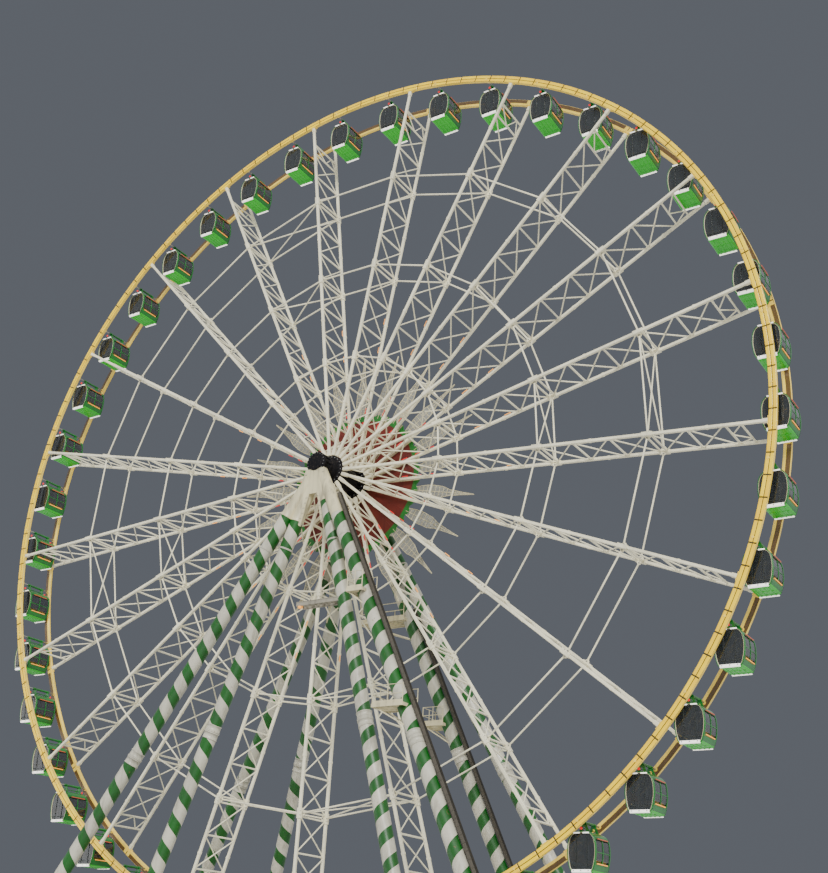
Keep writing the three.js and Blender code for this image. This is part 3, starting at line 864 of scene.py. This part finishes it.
# two moulded benches that face each other; the profile starts at the seat's height
bench = {"height": -1.92, "seats": (-0.41, 0.41), "legs": (-0.6, 0.6), "legAt": 0.42, "middle": (0.45, 0.15),
         "profile": ((0.20, -0.02), (0.22, 0), (0.40, -0.015), (0.55, -0.01), (0.60, 0.06), (0.655, 0.40),
                     (0.665, 0.52), (0.64, 0.53), (0.63, 0.40), (0.56, 0.10), (0.52, 0.03), (0.40, 0.025),
                     (0.24, 0.04), (0.19, 0.02)),
         "rounding": ((-0.38, 0.96), (-0.355, 1.0), (0.355, 1.0), (0.38, 0.96))}


def seats(shape):
    top = bench["height"]
    midX, midZ = bench["middle"]
    for side in both:
        for centre in bench["seats"]:
            rings = [[vec(side * mixOf(midX, x, grow), centre + y, top + mixOf(midZ, z, grow))
                      for x, z in bench["profile"]] for y, grow in bench["rounding"]]
            shape.skin(rings[::-side], seatShell, True)
        x, z = side * bench["legAt"], top - 0.03
        shape.bar(*ends(vec(x, 0, z), across * 0.78), 0.05, 0.05, up, boltSteel)
        for y in bench["legs"]:
            shape.bar(vec(x, y, z), vec(x, y, -2.38), 0.05, 0.05, across, boltSteel)
    shape.plate(vec(0, 0, -2.372), east, across, rectangle(0.5, 0.84), 0.02, floorMat)


# lamp bars: floor is half length, width, depth, height; sides are height, half length, finish, distance
lampBars = {"floor": (0.50, 0.15, 0.15, -2.375), "clips": (-0.4, 0, 0.4),
            "roof": (-0.25, 0.25), "roofHalf": 0.16, "roofZ": -0.53,
            "signalZ": -0.31, "signal": ((0, 0.06), (0.045, 0.075), (0.065, 0.04)),
            "sides": ((-2.00, 0.61, amberLamp, 0.015), (-0.80, 0.58, roseLamp, 0.045))}


def lamps(shape):
    reach, wide, deep, z = lampBars["floor"]
    top = lampBars["signalZ"]
    for side in both:
        y = side * (cabin["half"] + 0.055)
        inner = y - side * 0.05
        shape.bar(*ends(vec(0, inner, z), east * reach), wide, deep, up, whiteLamp, 0.2)
        for x in lampBars["clips"]:
            shape.bar(*ends(vec(x, inner, z + 0.02), east * 0.03), wide + 0.02, 0.05, up, boltSteel)
        for x in lampBars["roof"]:
            a, b = ends(vec(x, y, lampBars["roofZ"]), east * lampBars["roofHalf"])
            back = across * side * 0.05
            lampBar(shape, a, b, back, (0.075, 0.06, up, whiteLamp, 0.3), (0.05, 0.07, up, boltSteel))
        signal = vec(0, y - side * 0.04, top)
        shape.turned(signal, signal + across * side, lampBars["signal"], 14, redLamp)
        shape.bar(vec(0, y - side * 0.08, top), vec(0, side * 0.60, -0.40), 0.05, 0.05, up, boltSteel)
        for level, length, lamp, away in lampBars["sides"]:
            x = side * (widthAt(level) + away)
            shape.bar(*ends(vec(x, 0, level), across * length), 0.045, 0.055, up, lamp, 0.3)
            for clip in (-length * 0.7, 0, length * 0.7):
                shape.bar(*ends(vec(x - side * 0.05, clip, level), east * 0.04), 0.04, 0.04, up, boltSteel)


# arms from the roof to the sleeve on the pin that runs from rim to rim
hang = {"pinHalf": 1.43, "pin": ((0, 0.03), (0.01, 0.052), (2.85, 0.052), (2.86, 0.03)), "sleeveHalf": 0.74,
        "sleeve": ((0, 0.075), (0.02, 0.085), (0.12, 0.085), (0.14, 0.078), (1.34, 0.078), (1.36, 0.085),
                   (1.46, 0.085), (1.48, 0.075)), "armAt": 0.56, "beamAt": 0.22,
        "arm": ((-0.30, -0.50), (-0.14, -0.50), (-0.05, -0.20), (0.05, -0.20), (0.14, -0.50), (0.30, -0.50),
                (0.10, 0.02), (0.05, 0.085), (-0.05, 0.085), (-0.10, 0.02))}


def hanger(shape):
    shape.turned(*ends(Vector(), across * hang["pinHalf"]), hang["pin"], 16, boltSteel)
    shape.turned(*ends(Vector(), across * hang["sleeveHalf"]), hang["sleeve"])
    shape.bar(*ends(vec(0, 0, -0.28), across * hang["armAt"]), 0.06)
    for side in both:
        shape.plate(across * side * hang["armAt"], east, up, hang["arm"], 0.035)
        shape.bar(*ends(vec(side * hang["beamAt"], 0, -0.455), across * 0.8), 0.09, 0.035)


def buildCabin():
    shape = Shape(greenPaint)
    for part in (panAndRoof, frameRings, sideRibs, seats, lamps, hanger):
        part(shape)
    return shape


def buildGlass():
    shape = Shape(cabinGlass)
    half, thick = cabin["half"], cabin["glass"]
    span = cabin["panTop"], cabin["roofEdge"]
    for side in both:
        bentSheet(shape, span, (0.015, 0.015 + thick), side, (0.06 - half, half - 0.06))
        y = side * (half - 0.025)
        shape.skin(drawn(wholeLine(0.06), (y + thick / 2, y - thick / 2)))
    return shape


first = cabinNames[0]
body = piece(first + "_body", buildCabin(), first, [first], place=cabinPlaces[first]).data
glass = piece(first + "_glass", buildGlass(), first, place=cabinPlaces[first]).data
for name in cabinNames[1:]:
    settle(name + "_body", body, name, [name], cabinPlaces[name])
    settle(name + "_glass", glass, name, place=cabinPlaces[name])
print("cabins made")


# stand: leg axes run from beside the axle to the pads, as in the frame; collar and shoe are (distance, lift)
legs = {
    "radius": 0.415, "sides": 40, "flange": 0.438, "bore": 0.34, "lip": 0.05,
    "flangeBolts": (0.427, 24, 0.010), "greenShare": 0.46, "topDepth": 5.5,
    "floorLevel": 0.4, "topOffset": 2.3, "pad": 2.2, "beam": 0.5,
    "feet": {"front": ((16.97, 7.19), (10.33, 4.60)), "back": ((16.72, 6.27), (11.06, 8.85))},
    "collar": ((0, 0), (0, 0.035), (0.04, 0.035), (0.05, 0.012), (0.36, 0.012), (0.36, 0.04), (0.42, 0.04),
               (0.425, 0.02), (0.435, 0.02), (0.44, 0.04), (0.50, 0.04), (0.50, 0.012), (0.81, 0.012),
               (0.82, 0.035), (0.86, 0.035), (0.86, 0)),
    "shoe": ((0, 0.006), (0.05, 0.05), (0.12, 0.05), (0.18, 0.012), (0.95, 0.03)),
    "shoeRib": ((0, -0.02), (0.55, -0.02), (0.52, 0.05), (0.12, 0.62), (0, 0.62)),
    "padRibs": (-0.66, -0.22, 0.22, 0.66), "padRib": rectangle(0.028, 0.14, -0.02, -0.15),
}
# painted spiral: pitch, where it is counted from, the collar's place, how far below the axle it begins
stripes = {
    "front left outer": (1.610, 0.543, 21.05, 3.4), "front left inner": (1.595, 0.846, 17.64, 3.7),
    "front right outer": (1.725, 1.024, 21.05, 3.9), "front right inner": (1.440, 0.788, 17.64, 2.7),
    "back left outer": (1.615, 0.010, 21.00, 3.6), "back left inner": (1.550, 1.209, 18.44, 3.6),
    "back right outer": (1.630, 0.615, 21.00, 3.6), "back right inner": (1.555, 0.077, 18.44, 3.6),
}


class Leg:
    def __init__(self, side, sideX, outer):
        foot = legs["feet"][side][0 if outer else 1]
        sideY = -1 if side == "front" else 1
        self.top = vec(0, sideY * legs["topOffset"], axleHeight)
        self.foot = vec(sideX * foot[0], sideY * foot[1], legs["floorLevel"])
        self.along = (self.foot - self.top).normalized()
        self.hand = sideX
        name = " ".join((side, "left" if sideX < 0 else "right", "outer" if outer else "inner"))
        self.pitch, first, collar, self.stripeTop = stripes[name]
        self.zero = self.top + self.along * first
        self.collar = self.top + self.along * collar

    def at(self, height):
        return mixOf(self.top, self.foot, (self.top.z - height) / (self.top.z - self.foot.z))


# tube whose faces follow the painted spiral, so that each band has its own finish
def spiralTube(shape, a, b, leg):
    side, along, front = axesOf(a, b, across)
    length, sides = (b - a).length, legs["sides"]
    lead = (leg.zero - a).dot(along)
    turns = range(-int(lead / leg.pitch) - 3, int((length - lead) / leg.pitch) + 3)
    marks = [lead + (turn + part) * leg.pitch for turn in turns for part in (0, legs["greenShare"])]
    points = []
    for i in range(sides + 1):
        t = 2 * math.pi * i / sides
        out = (side * math.cos(t) - front * math.sin(t)) * legs["radius"]
        shift = leg.hand * leg.pitch * i / sides
        points += [a + along * min(length, max(0.0, mark + shift)) + out for mark in marks]
    bands = {legGreen: [], legWhite: []}
    for low in range(0, sides * len(marks), len(marks)):
        for row in range(len(marks) - 1):
            left, right = low + row, low + len(marks) + row
            if max((points[i] - points[i + 1]).length for i in (left, right)) >= 1e-5:
                bands[legWhite if row % 2 else legGreen].append((left, right, right + 1, left + 1))
    for finish, faces in bands.items():
        shape.add(points, faces, finish, True)


# end flange with its bolts, seen from the side that away points to
def legFlange(shape, face, away):
    lip, r = legs["lip"], legs["radius"]
    profile = [(0, legs["bore"]), (0, legs["flange"]), (lip, legs["flange"]), (lip, r)]
    shape.turned(face, face + away, profile, legs["sides"], legWhite)
    shape.bolts(face + away * lip, away, *legs["flangeBolts"])


def buildLeg(shape, leg):
    start, end = leg.at(axleHeight - legs["topDepth"]), leg.foot + leg.along * 0.05
    r, along, sides = legs["radius"], leg.along, legs["sides"]
    spiralTube(shape, start + along * legs["lip"], end, leg)
    legFlange(shape, start, along)
    collar, shoe = ([(s, r + lift) for s, lift in legs[key]] for key in ("collar", "shoe"))
    shape.turned(*ends(leg.collar, along * 0.43), collar, sides, legWhite)
    shape.bolts(leg.collar - along * 0.07, -along, r + 0.026, 24, 0.012)
    shape.turned(leg.foot - along * 0.9, end, shoe, sides)
    for i in range(8):
        t = math.pi / 4 * i + math.pi / 8
        out = vec(math.cos(t), math.sin(t), 0)
        shape.plate(leg.foot + out * 0.36, out, up, legs["shoeRib"], 0.04)


def buildPad(shape, leg):
    half, level = legs["pad"] / 2, legs["floorLevel"]
    middle = vec(leg.foot.x, leg.foot.y, 0)
    web, lid, edge = half - 0.05, level - 0.06, half - 0.03
    layers = ((0.0, half), (0.05, half), (0.05, web), (lid, web), (lid, half), (level, half))
    shape.skin([[middle + vec(x, y, z) for x, y in rectangle(w, w)] for z, w in layers])
    for x in legs["padRibs"]:
        for sign in both:
            for spot, out in ((vec(x, sign * edge, 0), across), (vec(sign * edge, x, 0), east)):
                shape.plate(middle + spot + up * (level / 2), out * sign, up, legs["padRib"], 0.03)
    for x, y in rectangle(half - 0.18, half - 0.18):
        shape.bolts(middle + vec(x, y, level), up, 0.0, 1, 0.05)


# rolled beam with flanges, web and stiffeners
def buildBeam(shape, a, b, width, height, finish=None):
    side, along, top = axesOf(a, b, up)
    w, h, web, sole = width / 2, height / 2, 0.025, 0.03
    left = [(-w, -h), (-w, sole - h), (-web, sole - h), (-web, h - sole), (-w, h - sole), (-w, h)]
    section = left + [(-x, z) for x, z in left[::-1]]
    shape.skin([[p + side * x + top * z for x, z in section] for p in (a, b)], finish)
    length = (b - a).length
    bays = max(2, int(length / 1.5))
    for i in range(1, bays):
        for sign in both:
            spot = a + along * (length * i / bays) + side * sign * (w / 2)
            shape.plate(spot, side, top, rectangle(w / 2 - 0.01, h - sole, -w / 2, sole - h), 0.02, finish)


# service platforms: height, then the two ends along X from the leg's axis
deck = {"front": ((15.17, -1.62, 0.33), (22.25, -0.76, 0.30)),
        "back": ((16.37, -1.47, 0.0), (22.88, -3.38, 0.0)),
        "length": 1.5, "deep": 0.18, "rail": 1.1, "midRail": 0.52, "tube": 0.025,
        "slatStep": 0.1, "inset": 0.97}


def buildPlatform(shape, leg, height, left, right):
    width, deep, s = right - left, deck["deep"], deck["inset"]
    middle = leg.at(height) + east * ((left + right) / 2)

    def corner(x, y, z):
        return middle + vec(x * width / 2, y * deck["length"] / 2, z)

    def bar(a, b, z, *rest):
        shape.bar(corner(*a, z), corner(*b, z), *rest)

    loop = rectangle(1, 1)
    for a, b in zip(loop, loop[1:] + loop[:1]):
        bar(a, b, 0, 0.06, deep, up, ivoryPaint, 0.1)
    slats = int(width / deck["slatStep"])
    for i in range(slats):
        t = -1 + 2 * (i + 0.5) / slats
        bar((t, -s), (t, s), deep / 2 - 0.03, 0.045, 0.03, up, ivoryPaint)
    for t in (-0.5, 0, 0.5):
        bar((-s, t), (s, t), -0.02, 0.05, 0.1, up, ivoryPaint)
    rail, r = deck["rail"], deck["tube"]
    for x, y in ((-s, -s), (-s, 0), (-s, s), (0, -s), (0, s), (s, -s), (s, s)):
        shape.tube(corner(x, y, 0), corner(x, y, rail), r, 10, ivoryPaint)
        foot = corner(x, y, deep / 2)
        shape.turned(foot, foot + up, [(0, 0.06), (0.015, 0.06), (0.02, r)], 10, ivoryPaint)
    for a, b in (((-s, -s), (s, -s)), ((-s, s), (s, s)), ((-s, -s), (-s, s))):
        for z in (rail - r, rail * deck["midRail"]):
            shape.tube(corner(*a, z), corner(*b, z), r * 0.8, 10, ivoryPaint)
        bar(a, b, deep / 2 + 0.08, 0.012, 0.15, up, ivoryPaint)
    # knee braces and arms to the leg
    for y in (-0.8, 0.8):
        foot = leg.at(height - min(1.3, width)) + across * y * 0.3
        shape.bar(corner(-0.8, y, -deep / 2), foot, 0.07, 0.07, across, ivoryPaint)
        arm = vec(leg.at(height).x, corner(0, y, 0).y, height)
        shape.bar(corner(-0.98, y, 0), arm, 0.07, 0.1, up, ivoryPaint)


# ladder of two rails and rungs that carries the cables up a leg
duct = {"width": 0.26, "standoff": 0.48, "bottom": 0.38, "front": 28.95, "back": 23.4, "step": 0.45,
        "sheets": (-0.78, 0.0, 0.78), "cables": (-0.055, 0.0, 0.055),
        "brackets": (3.0, 8.0, 13.0, 18.5, 23.0)}


def buildDuct(shape, leg, top):
    sideways = leg.along.cross(across).normalized()
    shift = sideways * (duct["standoff"] + duct["width"] / 2)
    a, b = leg.at(duct["bottom"]) + shift, leg.at(top) + shift
    along, length = (b - a).normalized(), (b - a).length
    w = duct["width"] / 2
    facing = along.cross(sideways).normalized()
    for sign in both:
        edge = sideways * sign * (w - 0.02)
        shape.bar(a + edge, b + edge, 0.025, w * 1.7, facing, ductSteel, 0.1)
    for depth in duct["sheets"]:
        lift = facing * w * depth
        shape.bar(a + lift, b + lift, w * 1.8, 0.012, facing, ductSheet, 0.1)
    for i in range(int(length / duct["step"])):
        spot = a + along * (0.3 + i * duct["step"])
        for depth in (-0.8, 0.8):
            shape.bar(*ends(spot + facing * w * depth, sideways * w * 0.9), 0.035, 0.025, along, ductSheet)
    for x in duct["cables"]:
        lift = sideways * x - facing * 0.04
        shape.tube(a + lift, b + lift, 0.024, 8, floorMat)
    for height in duct["brackets"]:
        near = leg.at(height) + sideways * (legs["radius"] - 0.02)
        shape.bar(near, near + sideways * 0.14, 0.12, 0.10, along, ductSheet)


# level lamp beam on the front inner right leg
lampBeam = {"height": 22.26, "length": 3.2, "width": 0.8, "deep": 0.25, "bays": 8, "cover": 0.985,
            "lamp": ((0, 0.02), (0.0, 0.10), (0.05, 0.15), (0.16, 0.15), (0.18, 0.07), (0.3, 0.06))}


def buildLampBeam(shape, leg):
    end = leg.at(lampBeam["height"])
    start = end - east * lampBeam["length"]
    half, deep = lampBeam["width"] / 2 - 0.05, lampBeam["deep"]
    cover, bays = lampBeam["cover"], lampBeam["bays"]
    wide = across * half
    for sign in both:
        buildBeam(shape, start + wide * sign, end + wide * sign, 0.1, deep, beamPaint)
    spots = [mixOf(start, end, i / bays * cover + (1 - cover) / 2) for i in range(bays + 1)]
    for spot in spots:
        shape.bar(*ends(spot, wide), 0.05, deep * 0.8, up, beamPaint)
    for i, (a, b) in enumerate(zip(spots, spots[1:])):
        turn = wide if i % 2 else -wide
        shape.bar(a - turn, b + turn, 0.04, 0.04, up, beamPaint)
    lamp = start + vec(0.22, 0.1 - half, -deep / 2 - 0.13)
    shape.turned(lamp, lamp + up * 0.3, lampBeam["lamp"], 20, amberLamp)
    shape.bar(*ends(lamp + up * 0.17, east * 0.1), 0.1, 0.05, up, ductSteel)


def buildLegPair(side, sideX):
    shape = Shape(zincSteel)
    outer, inner = (Leg(side, sideX, isOuter) for isOuter in (True, False))
    for leg in (outer, inner):
        buildLeg(shape, leg)
        buildPad(shape, leg)
    a, b = (leg.foot - up * legs["floorLevel"] / 2 for leg in (outer, inner))
    buildBeam(shape, mixOf(a, b, 0.12), mixOf(a, b, 0.88), legs["beam"], legs["floorLevel"])
    if sideX > 0:
        carrier = outer if side == "front" else inner
        for height, left, right in deck[side]:
            buildPlatform(shape, carrier, height, left, right)
        buildDuct(shape, carrier, duct[side])
        if side == "front":
            buildLampBeam(shape, inner)
    return shape


for side in ("front", "back"):
    for sideX, hand in zip(both, ("left", "right")):
        node = f"{side}_{hand}_legs"
        piece(node + "_striped", buildLegPair(side, sideX), "stand", [node], ground)
print("legs made")


# heads: bearing housing with cap and bolts, cream leg tops and cut gusset plates
head = {"near": 1.9, "far": 2.8, "radius": 0.7, "ribs": 12, "ribAt": 2.32,
        "rib": rectangle(0.055, 0.24, -0.05),
        "housing": ((0, 0.47), (0, 0.64), (0.03, 0.7), (0.14, 0.7), (0.18, 0.63), (0.66, 0.63), (0.70, 0.7),
                    (0.84, 0.7), (0.87, 0.65), (0.87, 0.57), (0.90, 0.55), (0.9, 0.5)),
        "cap": ((-0.02, 0.5), (0.02, 0.55), (0.035, 0.55), (0.04, 0.48)), "capBolts": (0.61, 18, 0.028),
        "gussetAt": 2.75, "gusset": 0.09,
        "halfGusset": ((0.70, -0.45), (1.75, -3.55), (0.80, -4.15), (0.30, -2.1)),
        "rowShares": (0.08, 0.26, 0.44, 0.62, 0.80, 0.96), "fold": ((0.45, -0.9), (1.18, -3.6))}


# cream top of a leg, its first stripes and the flange that meets the leg below
def legTop(shape, leg):
    along, big, sides = leg.along, legs["radius"], legs["sides"]
    start, end = leg.at(axleHeight - leg.stripeTop), leg.at(axleHeight - legs["topDepth"]) - along * 0.0006
    length = (start - leg.top).length
    ring, after = big + 0.012, length + 0.04
    shape.turned(leg.top, start, [(0, big * 0.8), (length - 0.9, big), (length - 0.03, big), (length, ring),
                                  (after, ring), (after, big)], sides)
    spiralTube(shape, start + along * 0.03, end, leg)
    legFlange(shape, end, -along)


def buildHead(side):
    shape = Shape(ivoryPaint)
    sideY = -1 if side == "front" else 1
    away = across * sideY
    a, b = (vec(0, sideY * head[key], axleHeight) for key in ("near", "far"))
    shape.turned(a, b, head["housing"], 54, darkSteel)
    shape.bolts(b - away * 0.03, away, *head["capBolts"])
    for i in range(head["ribs"]):
        out = wheelPoint(1, 2 * math.pi * i / head["ribs"])
        spot = vec(0, sideY * head["ribAt"], axleHeight) + out * (head["radius"] - 0.06)
        shape.plate(spot, out, away, head["rib"], 0.03, darkSteel)
    shape.turned(b, b + away, head["cap"], 40, darkSteel)
    for sideX in both:
        for isOuter in (True, False):
            legTop(shape, Leg(side, sideX, isOuter))
    half = list(head["halfGusset"])
    middle = vec(0, sideY * head["gussetAt"], axleHeight)
    shape.plate(middle, east, up, [(-x, z) for x, z in half] + half[::-1], head["gusset"])
    # rows of bolts along the plate's edges, and a fold down its middle
    for x in both:
        for first, last, inset in ((half[0], half[1], -0.12), (half[3], half[2], 0.12)):
            a, b = (vec(x * (px + inset), 0, pz + shift) for (px, pz), shift in ((first, -0.1), (last, 0.15)))
            for t in head["rowShares"]:
                shape.bolts(middle + mixOf(a, b, t) + away * 0.045, away, 0.05, 2, 0.026)
        a, b = (middle + vec(x * px, sideY * 0.05, pz) for px, pz in head["fold"])
        shape.bar(a, b, 0.05, 0.07, across)
    return shape


for side in ("front", "back"):
    piece(side + "_head_dressed", buildHead(side), "stand", [side + "_head"], ground)


# ground beams between the pads
def buildBase():
    shape = Shape(zincSteel)
    front, back = legs["feet"]["front"], legs["feet"]["back"]
    sizes, reach, level = (legs["beam"], legs["floorLevel"]), legs["pad"] / 2, legs["floorLevel"] / 2
    spans = sorted(sign * (front[i][0] + back[i][0]) / 2 for sign in both for i in (0, 1))
    for i, x in zip((0, 1, 1, 0), spans):
        buildBeam(shape, vec(x, reach - front[i][1], level), vec(x, back[i][1] - reach, level), *sizes)
        cover = vec(x, 0, legs["floorLevel"] + 0.006)
        shape.plate(cover, east, across, rectangle(0.45, 0.45), 0.012)
        shape.bolts(cover, up, 0.34, 8, 0.03, math.pi / 8)
    for x1, x2 in zip(spans, spans[1:]):
        buildBeam(shape, vec(x1 + 0.03, 0, level), vec(x2 - 0.03, 0, level), *sizes)
    return shape


piece("base_frame_beams", buildBase(), "stand", ["base_frame"], ground)
print("stand made")


# studio: pale floor, grey backdrop and two soft suns, each with its power, aim and spread
studio = {"floor": 140.0, "floorDrop": 0.002, "backdrop": (0.115, 0.125, 0.145),
          "skyLight": (0.80, 0.83, 0.88), "skyPower": 0.75,
          "suns": {"key": (3.3, (-0.55, 0.75, -0.55), 25), "fill": (1.3, (0.8, 0.45, 0.25), 60)}}


def buildStudio():
    shape = Shape(floorFinish("floorPale"))
    reach = studio["floor"]
    shape.add([(x, y, 0) for x, y in rectangle(reach, reach)], [range(4)])
    floor = piece("studio_floor", shape, origin=vec(0, 0, -studio["floorDrop"]))
    floor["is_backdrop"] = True
    world = bpy.data.worlds.new("studio")
    bpy.context.scene.world = world
    world.use_nodes = True
    nodes, links = world.node_tree.nodes, world.node_tree.links
    soft = nodes["Background"]
    soft.inputs[0].default_value = (*studio["skyLight"], 1)
    soft.inputs[1].default_value = studio["skyPower"]
    seen = nodes.new("ShaderNodeBackground")
    seen.inputs[0].default_value = (*studio["backdrop"], 1)
    choose, rays = nodes.new("ShaderNodeMixShader"), nodes.new("ShaderNodeLightPath")
    for i, out in enumerate((rays.outputs["Is Camera Ray"], soft.outputs[0], seen.outputs[0])):
        links.new(out, choose.inputs[i])
    links.new(choose.outputs[0], nodes["World Output"].inputs[0])
    for name, (power, aim, spread) in studio["suns"].items():
        light = bpy.data.lights.new(name, "SUN")
        light.energy, light.angle = power, math.radians(spread)
        lamp = bpy.data.objects.new(name, light)
        lamp.rotation_mode = "QUATERNION"
        lamp.rotation_quaternion = Vector(aim).to_track_quat("-Z", "Y")
        bpy.context.scene.collection.objects.link(lamp)


buildStudio()

# camera: low beside the front, looking up at the hub from the right; pixels are of the 828 by 873 picture
view = {"fromHub": (44.010, -58.271, -30.022), "yaw": 33.826, "pitch": 20.106, "roll": 3.156,
        "focalPixels": 1232.2, "centrePixels": (-10.8, 93.5), "longSide": 873, "sensor": 36, "clip": 500}


def buildCamera():
    yaw, pitch, roll = (math.radians(view[key]) for key in ("yaw", "pitch", "roll"))
    forward = vec(-math.sin(yaw) * math.cos(pitch), math.cos(yaw) * math.cos(pitch), math.sin(pitch))
    level = vec(math.cos(yaw), math.sin(yaw), 0)
    rise = level.cross(forward)
    right = level * math.cos(roll) + rise * math.sin(roll)
    top = rise * math.cos(roll) - level * math.sin(roll)
    camera = bpy.data.cameras.new("camera")
    camera.sensor_width, camera.clip_end = view["sensor"], view["clip"]
    camera.lens = view["focalPixels"] * camera.sensor_width / view["longSide"]
    camera.shift_x = -view["centrePixels"][0] / view["longSide"]
    camera.shift_y = view["centrePixels"][1] / view["longSide"]
    made = bpy.data.objects.new("camera", camera)
    bpy.context.scene.collection.objects.link(made)
    turn = Matrix((right, top, -forward)).transposed().to_4x4()
    made.matrix_world = Matrix.Translation(axle + Vector(view["fromHub"]) * modelScale) @ turn
    bpy.context.scene.camera = made


buildCamera()

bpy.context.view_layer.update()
faces = sum(len(o.data.polygons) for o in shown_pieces() if o.type == "MESH")
print("scene made, faces:", faces)
